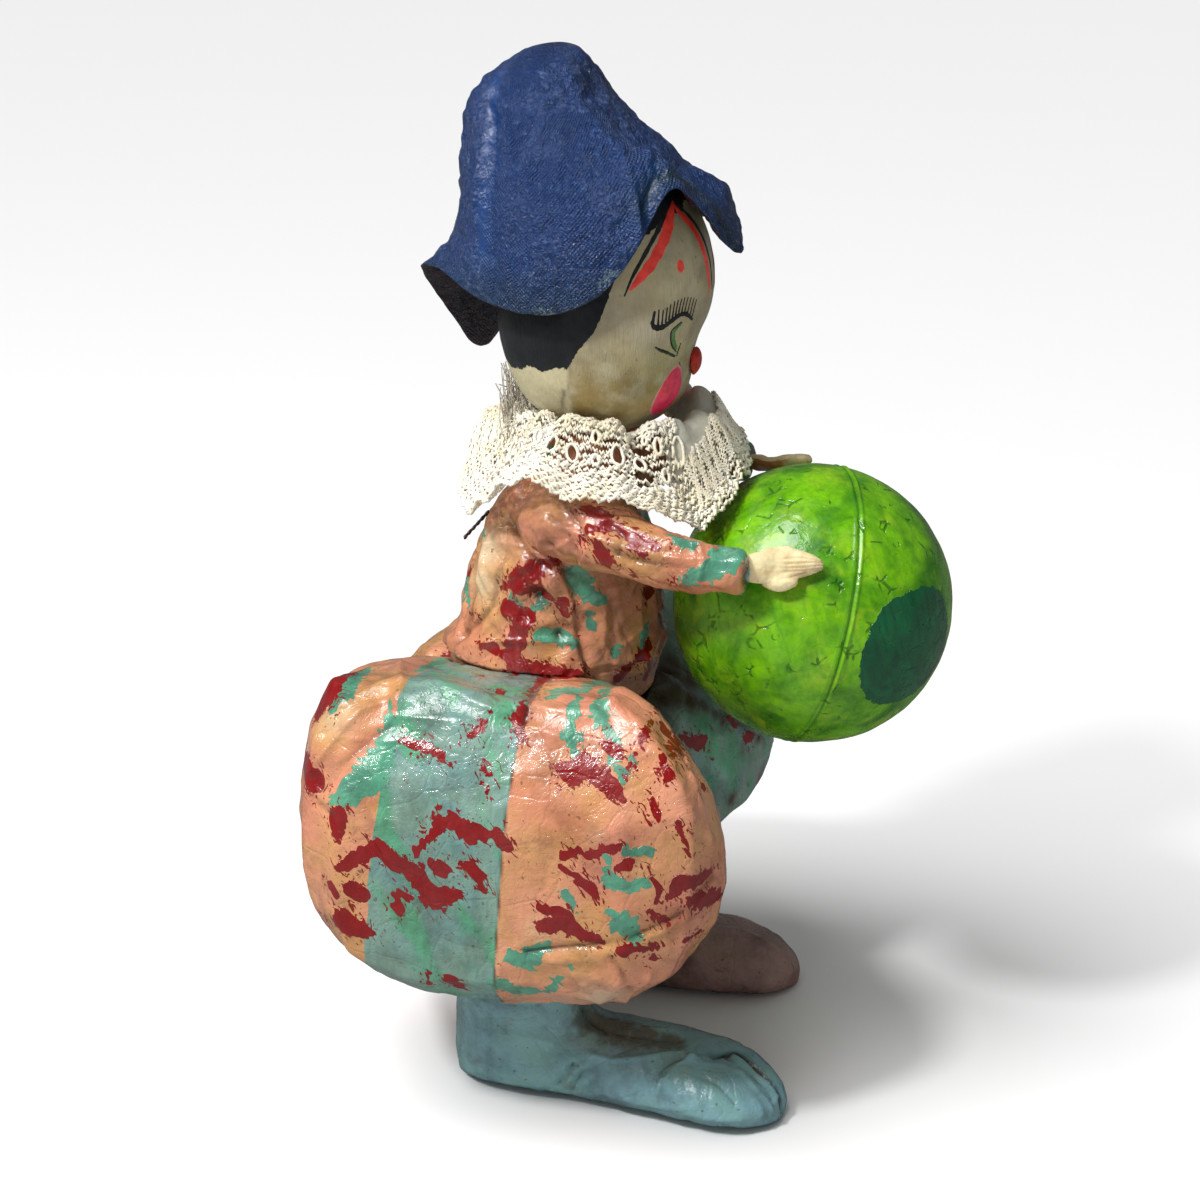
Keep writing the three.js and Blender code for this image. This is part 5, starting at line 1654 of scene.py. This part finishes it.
LEGS = {
    "right_trouser_leg": {
        "name": "trouser_right",
        "panel_front": (-19.0, 0.075), "panel_back": (-53.3, 0.11), "torn": 0.6,
        "folds": [
            ([(-51, -56, 127), (-40, -56, 127), (-31, -61, 126), (-22, -61, 123), (-17, -58, 124),
              (-8, -60, 124), (3, -60, 125)],
             1.6, 1.3),
            ([(-60, -26, 120), (-56, -40, 124), (-51, -56, 127), (-50, -62, 124)], 1.3, 1.2),
            ([(-52, -24, 121), (-43, -37, 124), (-30, -50, 127), (-24, -58, 126)], 1.3, -1.2),
            ([(-46, -18, 120), (-36, -30, 123), (-26, -46, 126)], 1.2, 0.9),
            ([(-20, -42, 124), (-17, -52, 124), (-16, -61, 123), (-17, -63, 120)], 0.8, -1.3),
            ([(-18, -63, 121), (-11, -64, 120), (-5, -65, 119)], 0.9, 0.9),
            ([(1, -50, 128), (2, -58, 126), (5, -60, 124)], 1.8, -1.6),
            ([(5, -57, 127), (8, -50, 128), (14, -46, 126)], 2.6, 1.6),
            ([(-51, -62, 125), (-54, -61, 124), (-60, -64, 121), (-67, -68, 113), (-72, -68, 106)], 1.0, 1.6),
            ([(-51, -66, 119), (-58, -69, 114), (-64, -71, 108), (-69, -71, 102)], 1.6, -1.3),
            ([(-73, -68, 105), (-67, -71, 106), (-62, -73, 106)], 0.8, 1.0),
            ([(-76, -62, 99), (-69, -72, 98), (-64, -75, 96)], 1.0, -0.9),
            ([(-64, -50, 121), (-68, -60, 118), (-64, -66, 117)], 1.0, -0.9),
            ([(-13, -77, 64), (-4, -77, 66), (6, -77, 68), (16, -75, 71), (26, -71, 76),
              (33, -60, 82)], 0.7, -1.5),
            ([(-7, -77, 62), (4, -77, 64), (14, -75, 68), (24, -71, 73)], 1.2, 1.0),
            ([(20, -72, 60), (12, -68, 50), (8, -60, 42)], 1.0, 1.2),
            ([(9, -77, 65), (12, -76, 60), (13, -70, 52)], 0.9, -1.0),
            ([(-1, -76, 58), (3, -73, 52), (5, -68, 46)], 1.1, 0.9),
            ([(28, -66, 64), (17, -64, 50), (9, -58, 41.5)], 1.0, -1.0),
            ([(24, -60, 116), (27, -62, 108), (30, -65, 99), (34, -62, 90)], 1.0, 1.3),
            ([(20, -60, 119), (24, -65, 108), (28, -69, 98)], 1.2, -0.8),
            ([(-20, -77, 60), (-22, -74, 52), (-24, -66, 44)], 1.6, 0.6),
            ([(-78, -56, 88), (-80, -50, 78), (-78, -46, 66)], 1.3, 0.9),
            ([(-70, -67, 66), (-64, -68, 56), (-56, -64, 48)], 1.8, 0.7),
            ([(-26, -45, 126), (-20, -38, 125), (-14, -33, 123)], 1.2, -1.2),
        ],
        "red": [
            [(-62, 83, 1.5), (-58, 86, 2.1), (-52, 90, 2.1), (-49, 87, 2.5), (-45, 85, 2.3), (-42, 84, 2.5),
             (-40, 80, 2.8),
             (-37, 77, 3.5), (-34, 78, 3), (-31, 79, 1.2)],
            [(-42, 88, 0.8), (-41, 91, 1.2), (-38, 94, 1.5), (-35, 98, 1.9), (-32, 99, 2), (-28, 96, 2.4),
             (-21, 96, 1.6), (-17, 93, 1.7)],
            [(-38, 87, 1.6), (-34, 85, 2)], [(-28, 87, 1.6), (-25, 83, 1.6), (-24, 80, 1)], [(-47, 77, 1.3),
                                                                                             (-44, 76, 0.9)],
            [(-47, 73, 2), (-47, 70, 0.5)], [(-63, 97, 2.4), (-63, 93, 2), (-62, 90, 0.5)], [(-65, 77, 1.3),
                                                                                             (-64, 75, 1)],
            [(-59, 77, 2.7), (-57, 76, 2.5)], [(-62, 68, 3.2), (-60, 66, 3.5), (-55, 65, 1.8)],
            [(-69, 64, 1)],
            [(-74, 105, 3.4), (-71, 103, 3.2)], [(-68, 127, 2.4), (-70, 122, 2)],
            [(-6, 113, 1.2), (-2, 112, 3), (0, 115, 2.3), (5, 112, 2.6), (9, 109, 2.2), (11, 107, 1)],
            [(6, 119, 1.4), (9, 117, 1.6)], [(15, 122, 0.8), (14, 119, 0.4)], [(20, 117, 0.7), (22, 113, 1.2),
                                                                               (21, 111, 0.4)],
            [(13, 117, 0.6), (11, 112, 0.4)], [(18, 107, 0.8), (19, 104, 1.3), (20, 101, 0.2)],
            [(-3, 92, 1.1), (1, 94, 0.9)],
            [(3, 93, 1), (8, 95, 1.6), (11, 96, 1.4)], [(11, 90, 1), (13, 91, 1.8)], [(-4, 89, 0.5),
                                                                                      (0, 87, 1.1),
                                                                                      (4, 84, 1.5),
                                                                                      (6, 81, 0.4)],
            [(-10, 77, 0.8), (-6, 77, 1.3), (-2, 76, 1.8)], [(-8, 72, 2.1), (-4, 74, 2), (1, 71, 2),
                                                             (6, 69, 1.4)],
            [(23, 81, 1), (26, 85, 2.1), (30, 84, 1.8)], [(29, 79, 1.8), (32, 76, 2)], [(19, 78, 0.9),
                                                                                        (22, 74, 1)],
            [(12, 67, 1.8), (19, 67, 1.3)], [(19, 63, 1.2)], [(27, 68, 1), (29, 67, 0.7)], [(-18, 122, 2.2),
                                                                                            (-17, 119, 1.3)],
            [(-47, 116, 0.6), (-41, 115, 1), (-37, 114, 0.9), (-34, 112, 0.5)], [(-30, 119, 0.7),
                                                                                 (-27, 121, 1)],
            [(-26, 113, 0.5), (-24, 110, 0.8), (-23, 106, 0.3)], [(-40, 54, 1), (-40, 51, 0.8)],
            [(-34, 53, 1.8), (-32, 50, 1.4)],
            [(25, 102, 0.4), (27, 97, 0.9), (28, 93, 0.3)], [(17, 91, 0.3), (21, 84, 0.6), (20, 80, 0.3)],
        ],
        "teal": [
            [(-64, 101, 1.4), (-59, 104, 3.6), (-54, 108, 4.6), (-52, 113, 3.4), (-51, 118, 2.2),
             (-52, 124, 0.8)],
            [(-64, 126, 2), (-68, 121, 1.6)], [(-4, 125, 1.6), (-4, 121, 2.2), (-2, 117, 1.8)],
            [(2, 126, 2.2), (6, 121, 1.9), (8, 118, 1.4)],
            [(12, 118, 0.8), (13, 115, 0.6)], [(7, 115, 1.2), (11, 112, 1.5)], [(13, 95, 1), (18, 94, 1.5)],
            [(8, 92, 1.3), (9, 86, 2.1), (14, 85, 1.7), (18, 86, 1)], [(9, 78, 1.6), (12, 75, 3.2),
                                                                       (15, 71, 2)], [(-3, 82, 0.9),
                                                                                      (0, 77, 1.2)],
            [(-17, 62, 2.2), (-13, 62, 3.2), (-8, 66, 1.4)], [(-21, 54, 2.2), (-16, 50, 2.2), (-9, 50, 1.2),
                                                              (-5, 56, 1.4)], [(-2, 61, 0.8)],
        ],
        # The pale places are painted highlights on folds that face the light.
        "pale": [(-78, -60, 84, 4), (6, -72, 50, 6), (-66, -62, 118, 5), (-72, -60, 108, 4)],
        "shade": [],
        "hidden": 34,
    },
    "left_trouser_leg": {
        "name": "trouser_left",
        "panel_front": (60.0, -0.25), "panel_back": (-8.0, 0.12), "torn": 4.0,
        "folds": [
            ([(4, 10, 112), (12, 15, 105), (20, 18, 96), (24, 24, 90)], 1.4, -2.4),
            ([(4, 6, 110), (16, 12, 98), (26, 22, 88), (33, 32, 80)], 1.2, 2.2),
            ([(6, 4, 104), (16, 8, 92), (24, 14, 82), (30, 24, 70)], 1.6, -1.8),
            ([(2, 12, 116), (14, 20, 106), (24, 32, 96)], 1.6, -1.8),
            ([(0, 20, 119), (12, 30, 111), (22, 42, 100)], 1.6, 1.5),
            ([(30, 10, 66), (24, 16, 58), (14, 22, 46)], 1.6, 1.2),
            ([(-50, 66, 122), (-36.5, 66, 121), (-18, 68, 118), (2, 62, 120)], 1.4, 1.4),
            ([(-20, 77, 62), (-2, 77, 66), (16, 75, 72), (30, 66, 80)], 1.0, -1.3),
            ([(-64, 60, 116), (-60, 70, 104), (-58, 76, 90)], 1.4, 1.4),
            ([(10, 70, 112), (18, 72, 98), (22, 70, 84)], 1.6, -1.2),
            ([(-40, 74, 112), (-44, 77, 96), (-40, 77, 80)], 1.4, 0.9),
            ([(-60, 66, 70), (-48, 68, 56), (-36, 62, 46)], 1.6, 1.0),
        ],
        "red": [
            [(13, 1.5, 93, 1.5), (17, 6, 90, 2.5), (19, 9, 87, 1)], [(30, 18, 98, 1), (32, 24, 94, 3),
                                                                     (34, 30, 90, 1.4)],
            [(20, 12, 108, 2), (24, 18, 105, 0.8)], [(26, 6, 66, 1.5), (30, 12, 68, 3), (33, 18, 72, 1)],
        ],
        "teal": [[(30, 30, 104, 5), (34, 44, 98, 6), (34, 56, 92, 4)]],
        "pale": [(30, 22, 72, 4)],
        # Painted shade in the gap between the legs, under the jacket and the ball.
        "shade": [(5, 6, 110, 7), (8, 14, 110, 6), (12, 13, 105, 4), (6, 3, 104, 5), (10, 6, 104, 5),
                  (14, 9, 101.5, 4.5), (17, 12, 99, 3), (20, 14, 96, 2), (29, 27, 84, 2.2), (32, 31, 82, 2.2),
                  (14, 16, 106, 4), (22, 16, 93, 2.5), (26, 12, 71, 2.5), (20, 5, 72, 3)],
        "hidden": 60,
    },
}


class CLOWN_OT_trousers(bpy.types.Operator):
    """Fold both balloon trouser legs from kraft paper"""

    bl_idname = "clown.trousers"
    bl_label = "Trousers"

    def execute(self, context):
        crush, grain = sizes().crush_mm, sizes().grain_mm
        for node, leg in LEGS.items():
            made, points, normals = fine_piece(node, leg["name"], "salt_paper", paper_material(), grain, 7, 0)
            x, y, z = points.T
            right = y.mean() < 0
            calm = 0.45 + 0.75 * ramp(np.abs(z - 84), 20, 40) + 0.4 * ramp(np.abs(x + 24), 34, 52)
            heights = calm * (1.3 * crush * crushed(points, 20, 11, 5) + 0.6 * crush * crushed(points, 8, 12))
            heights += 0.25 * cloud(points, 12, 14) + calm * creases(points, 70, 17, 12, 0.7)
            heights += folded(points, leg["folds"])
            start, slope = leg["panel_front"]
            front = start + slope * (z - PANEL_LEVEL) - x
            start, slope = leg["panel_back"]
            back = x - (start + slope * (z - PANEL_LEVEL)) + 0.7 * cloud(points, 9, 3) * leg["torn"]
            heights += 0.35 * ramp(-front, -0.25, 0.25) * bell(front, 8)
            shut = ramp(np.abs(y), 0.8, 2.5)
            low, high = box_of(node)
            room = (-low[1] if right else high[1]) - np.abs(y)
            heights = np.minimum(heights, np.maximum(room, -0.6) / np.maximum(np.abs(normals[:, 1]), 0.2))
            raise_points(made, heights * shut, points, normals)
            # Painted shade in the pressed folds, along the panel's front edge and in the gap between the
            # legs.
            dark = pressed(points, leg["folds"], 0.45, 0.55)
            dark += 0.9 * bell(front, 0.30) * (leg["torn"] < 1) + 1.2 * spots(points, leg["shade"])
            hidden = y > -58 if right else z > 0
            red = painted(points, [*leg["red"], *flicked(points, leg["hidden"], 5, 3.6, hidden)])
            teal = painted(points, [*leg["teal"], *flicked(points, leg["hidden"] // 2, 6, 5.0, hidden)])
            # Pale patches: on the right leg these are painted highlights on folds that face the light.
            pale = 0.7 * spots(points, leg["pale"])
            keep_zones(made, dark, np.minimum(front, back), pale, red=red, teal=teal)
        return {"FINISHED"}


# ---- Shoes --------------------------------------------------------------------------------------

SHOES = {
    "right_shoe": {
        "name": "shoe_right", "slot": "aqua_paint", "gloss": 0.85,
        "second": (0.20, 0.38, 0.44), "stain": (0.15, 0.17, 0.11),
        "folds": [
            ([(23, -43, 18.6), (27, -42, 18.4), (30, -40, 18), (34, -37, 17), (36, -33, 16)], 0.6, 1.0),
            ([(30, -39, 17.8), (36, -33, 16), (40, -34, 14), (44, -37, 12), (48, -39, 9),
              (50, -40, 5)], 1.1, -3.2),
            ([(24, -43.5, 18), (27, -44, 18), (32, -42, 17), (36, -42, 16), (40, -43, 13), (44, -45, 11),
              (47, -45, 6)], 0.6, 1.1),
            ([(34, -38, 17), (39, -39, 15), (43, -41, 12), (47, -43, 8)], 0.6, -1.3),
            ([(33, -36, 17), (39, -37, 15.4), (43, -39, 13), (48, -41, 8)], 0.6, 1.2),
            ([(25, -43, 18), (21, -46, 17), (19, -49, 15), (17, -50, 14), (17, -51, 11)], 0.7, 1.3),
            ([(22, -44, 18), (18, -47, 17), (16, -49.5, 14), (15, -50, 10)], 0.8, -1.0),
            ([(-3, -45, 17), (4, -46, 17), (12, -45, 18), (22, -42, 19)], 0.9, 1.2),
            ([(-7, -35, 25), (-4, -36, 21.5), (2, -38, 21), (9, -38, 20), (20, -36, 19.5)], 0.7, -1.5),
            ([(-6, -33, 26), (-2, -33, 22.5), (8, -34, 21.4), (19, -32, 19.6)], 0.7, 1.1),
            ([(-4, -30, 26), (2, -29, 23), (12, -28, 21.4)], 0.7, -1.2),
            ([(-12, -46, 7), (-10, -46, 11), (-8, -46, 14)], 0.5, -1.6),
            ([(-10, -46, 7), (-8, -47, 11), (-6, -47, 14)], 0.5, 1.2),
            ([(-8, -46, 6), (-6, -47, 11), (-3.5, -47, 14)], 0.5, -1.3),
            ([(-6, -46, 6), (-4, -47, 10), (-1.5, -47, 13)], 0.6, 0.9),
            ([(0, -48, 7), (12, -51, 7), (26, -54, 6.5), (40, -52, 6)], 1.2, 0.9),
            ([(28, -48, 16), (33, -49, 14), (38, -51, 10)], 1.2, -0.6),
            ([(-35, -44, 31), (-28, -46, 30), (-17, -44, 30)], 0.8, -0.8),
            ([(-40, -38, 22), (-34, -44, 20), (-24, -45, 21), (-14, -44, 19)], 1.5, 0.7),
            ([(36, -44, 14), (41, -46, 11), (45, -48, 6)], 0.9, 0.7),
            ([(-44, -30, 12), (-40, -40, 10), (-30, -45, 9)], 1.2, 0.6),
            ([(-20, -12, 20), (-4, -12, 18), (14, -13, 16)], 1.2, 0.9),
        ],
        "shadow": [(33, -37, 17), (36, -33, 16), (40, -34, 14), (44, -37, 12), (48, -39, 9), (50, -40, 5)],
        # The bare places are the instep under the trouser's hem, painted dark grey-olive as shade.
        "bare": [(-6, -36, 23, 7), (2, -37, 21, 7), (10, -38, 20, 6), (18, -38, 19.5, 5)],
    },
    "left_shoe": {
        "name": "shoe_left", "slot": "plum_paint", "gloss": 0.35,
        "second": (0.28, 0.16, 0.14), "stain": (0.12, 0.075, 0.06),
        "folds": [
            ([(-4, 24, 22), (10, 28, 21), (25, 34, 18), (38, 33, 12)], 2.0, 1.4),
            ([(2, 20, 14), (16, 19, 12), (32, 24, 9)], 1.6, -1.0),
            ([(-16, 28, 28), (-10, 34, 23), (0, 36, 21)], 1.0, -1.2),
            ([(20, 44, 14), (30, 42, 11), (38, 38, 8)], 1.4, 1.0),
            ([(20, 29, 19), (32, 30, 15), (41, 32, 8)], 1.6, 1.0),
            ([(-30, 14, 20), (-14, 14, 18), (2, 16, 14)], 1.4, 0.8),
        ],
        "shadow": [(-16, 28, 28), (-10, 34, 23), (0, 36, 21)],
        "bare": [],
    },
}


def shoe_material(name, shade, shoe):
    made, add, socket = new_material(name, 0.34, coat=shoe["gloss"], coat_roughness=0.05)
    place = add.space()
    base = add.mottle(place, shade, shoe["second"], 14.0, 0.16)
    stained = add.ramp(add.noise(place, 11.0, 5.0, 0.6), 0.54, 0.74)
    base = add.tint(base, stained, 0.55, shoe["stain"])
    base = add.grime(place, base, 0.5)
    # Painted shade: the bare places on the instep are darkened to grey-olive.
    bare = add.plus(add.attribute("bare"), add.times(add.minus(add.noise(place, 3.0, 4.0), 0.5), 0.9))
    base = add.mix(add.ramp(bare, 0.22, 0.75, 0.0, 0.80), base, (0.075, 0.080, 0.055))
    # Painted shade in the open crease and the pressed folds.
    base = add.mix(add.ramp(add.attribute("dark"), 0.1, 0.8, 0.0, 0.95), base, (0.006, 0.012, 0.012))
    add.feed(socket["Base Color"], base)
    add.feed(socket["Roughness"], add.ramp(add.noise(place, 8.0), 0.35, 0.7, 0.22, 0.48))
    add.relief(socket, add.bump(add.crinkle(place, 7.0), 0.9))
    return made


class CLOWN_OT_shoes(bpy.types.Operator):
    """Wrap both long shoes in varnished paper"""

    bl_idname = "clown.shoes"
    bl_label = "Shoes"

    def execute(self, context):
        shades = {"right_shoe": colours().shoe_aqua, "left_shoe": colours().shoe_plum}
        crush = sizes().crush_mm
        for node, shoe in SHOES.items():
            material = shoe_material(shoe["name"], shades[node], shoe)
            made, points, normals = fine_piece(node, shoe["name"], shoe["slot"], material, 0.6, 8)
            heights = 0.8 * crush * crushed(points, 16, 31) + 0.45 * crush * crushed(points, 6, 32)
            heights += creases(points, 20, 23, 8, 0.6)
            heights += folded(points, shoe["folds"])
            grounded = ramp(points[:, 2], 0.2, 3.0)
            raise_points(made, heights * grounded, points, normals)
            # Painted shade along the open crease's line and in the pressed folds.
            dark = crease(points, rounded_line(shoe["shadow"]), 0.9, 1.5)
            dark += pressed(points, shoe["folds"], 0.4, 0.5)
            store(made, "dark", np.clip(dark, 0, 1))
            store(made, "bare", spots(points, shoe["bare"]))
        return {"FINISHED"}


# ---- Stage --------------------------------------------------------------------------------------

LOOK_AT = Vector((-10.1, 0, 133)) * MM
CAMERA_TURN = 12
CAMERA_RISE = 20
CAMERA_AWAY = 0.700
LENS = 76.3
SENSOR = 36
CLIP = (0.01, 50)
FLOOR_HALF = 6
CEILING_FROM = Vector((-0.42, -0.34, 1))
CEILING_SPREAD = 38
CEILING_POWER = 2.65
WINDOW_PLACE = Vector((-0.45, -0.62, 0.95))
WINDOW_SIZE = 0.13
WINDOW_POWER = 7.0


def put(name, data, towards, place=(0, 0, 0)):
    """Links a light or a camera at a place, with its back towards the given direction."""
    made = bpy.data.objects.new(name, data)
    made.location = place
    made.rotation_euler = towards.to_track_quat("Z", "Y").to_euler()
    bpy.context.scene.collection.objects.link(made)
    return made


class CLOWN_OT_stage(bpy.types.Operator):
    """Set the pale floor, the soft lights and the camera"""

    bl_idname = "clown.stage"
    bl_label = "Stage"

    def execute(self, context):
        scene = context.scene
        shape = bmesh.new()
        bmesh.ops.create_grid(shape, x_segments=8, y_segments=8, size=FLOOR_HALF)
        floor = bpy.data.objects.new("floor", mesh_of(shape, "floor"))
        scene.collection.objects.link(floor)
        made, add, socket = new_material("floor_white", 0.9)
        rays = add.add("ShaderNodeLightPath").outputs
        shown = add.mix(rays["Is Camera Ray"], (0.66, 0.66, 0.66), (0.86, 0.86, 0.86))
        add.feed(socket["Base Color"], add.mix(rays["Is Glossy Ray"], shown, (0.10, 0.10, 0.10)))
        floor.data.materials.append(made)
        self.room(scene)
        sun = bpy.data.lights.new("ceiling", "SUN")
        sun.angle = math.radians(CEILING_SPREAD)
        sun.energy = CEILING_POWER
        put("ceiling", sun, CEILING_FROM)
        window = bpy.data.lights.new("window", "AREA")
        window.shape = "DISK"
        window.size = WINDOW_SIZE
        window.energy = WINDOW_POWER
        put("window", window, WINDOW_PLACE - LOOK_AT, WINDOW_PLACE)
        camera = bpy.data.cameras.new("camera")
        camera.lens = LENS
        camera.sensor_width = SENSOR
        camera.clip_start, camera.clip_end = CLIP
        turn, rise = math.radians(CAMERA_TURN), math.radians(CAMERA_RISE)
        level = math.cos(rise)
        back = Vector((math.sin(turn) * level, -math.cos(turn) * level, math.sin(rise)))
        scene.camera = put("camera", camera, back, LOOK_AT + back * CAMERA_AWAY)
        scene.view_settings.view_transform = "Standard"
        return {"FINISHED"}

    @staticmethod
    def room(scene):
        """A pale room that lights the clown only weakly, so that most light comes from above."""
        world = bpy.data.worlds.new("soft_room")
        world.use_nodes = True
        add = Nodes(world.node_tree)
        background = world.node_tree.nodes["Background"]
        rays = add.add("ShaderNodeLightPath").outputs
        spread = add.ramp(rays["Is Glossy Ray"], 0.0, 1.0, 0.30, 0.07)
        seen = add.ramp(rays["Is Camera Ray"], 0.0, 1.0, 0.0, 0.95)
        add.feed(background.inputs[1], add.most(spread, seen))
        background.inputs[0].default_value = (1, 1, 1, 1)
        scene.world = world


# ---- Add-on -------------------------------------------------------------------------------------

OPERATORS = (
    CLOWN_OT_hat,
    CLOWN_OT_head,
    CLOWN_OT_face,
    CLOWN_OT_collar,
    CLOWN_OT_jacket,
    CLOWN_OT_sleeves,
    CLOWN_OT_hands,
    CLOWN_OT_ball,
    CLOWN_OT_trousers,
    CLOWN_OT_shoes,
    CLOWN_OT_stage,
)


class CLOWN_PT_panel(bpy.types.Panel):
    """Lists the clown's pieces, paints and sizes"""

    bl_idname = "CLOWN_PT_panel"
    bl_label = "Clown"
    bl_space_type = "VIEW_3D"
    bl_region_type = "UI"
    bl_category = "Clown"

    def draw(self, context):
        for operator in OPERATORS:
            self.layout.operator(operator.bl_idname)
        for group in (context.scene.clown_colours, context.scene.clown_sizes):
            box = self.layout.box()
            for name in group.bl_rna.properties.keys():
                if name not in ("rna_type", "name"):
                    box.prop(group, name)


CLASSES = (ClownColours, ClownSizes, *OPERATORS, CLOWN_PT_panel)


def register():
    for item in CLASSES:
        bpy.utils.register_class(item)
    bpy.types.Scene.clown_colours = PointerProperty(type=ClownColours)
    bpy.types.Scene.clown_sizes = PointerProperty(type=ClownSizes)


def unregister():
    del bpy.types.Scene.clown_sizes
    del bpy.types.Scene.clown_colours
    for item in reversed(CLASSES):
        bpy.utils.unregister_class(item)


def main():
    register()
    for operator in OPERATORS:
        group, name = operator.bl_idname.split(".")
        getattr(getattr(bpy.ops, group), name)()


if __name__ == "__main__":
    main()
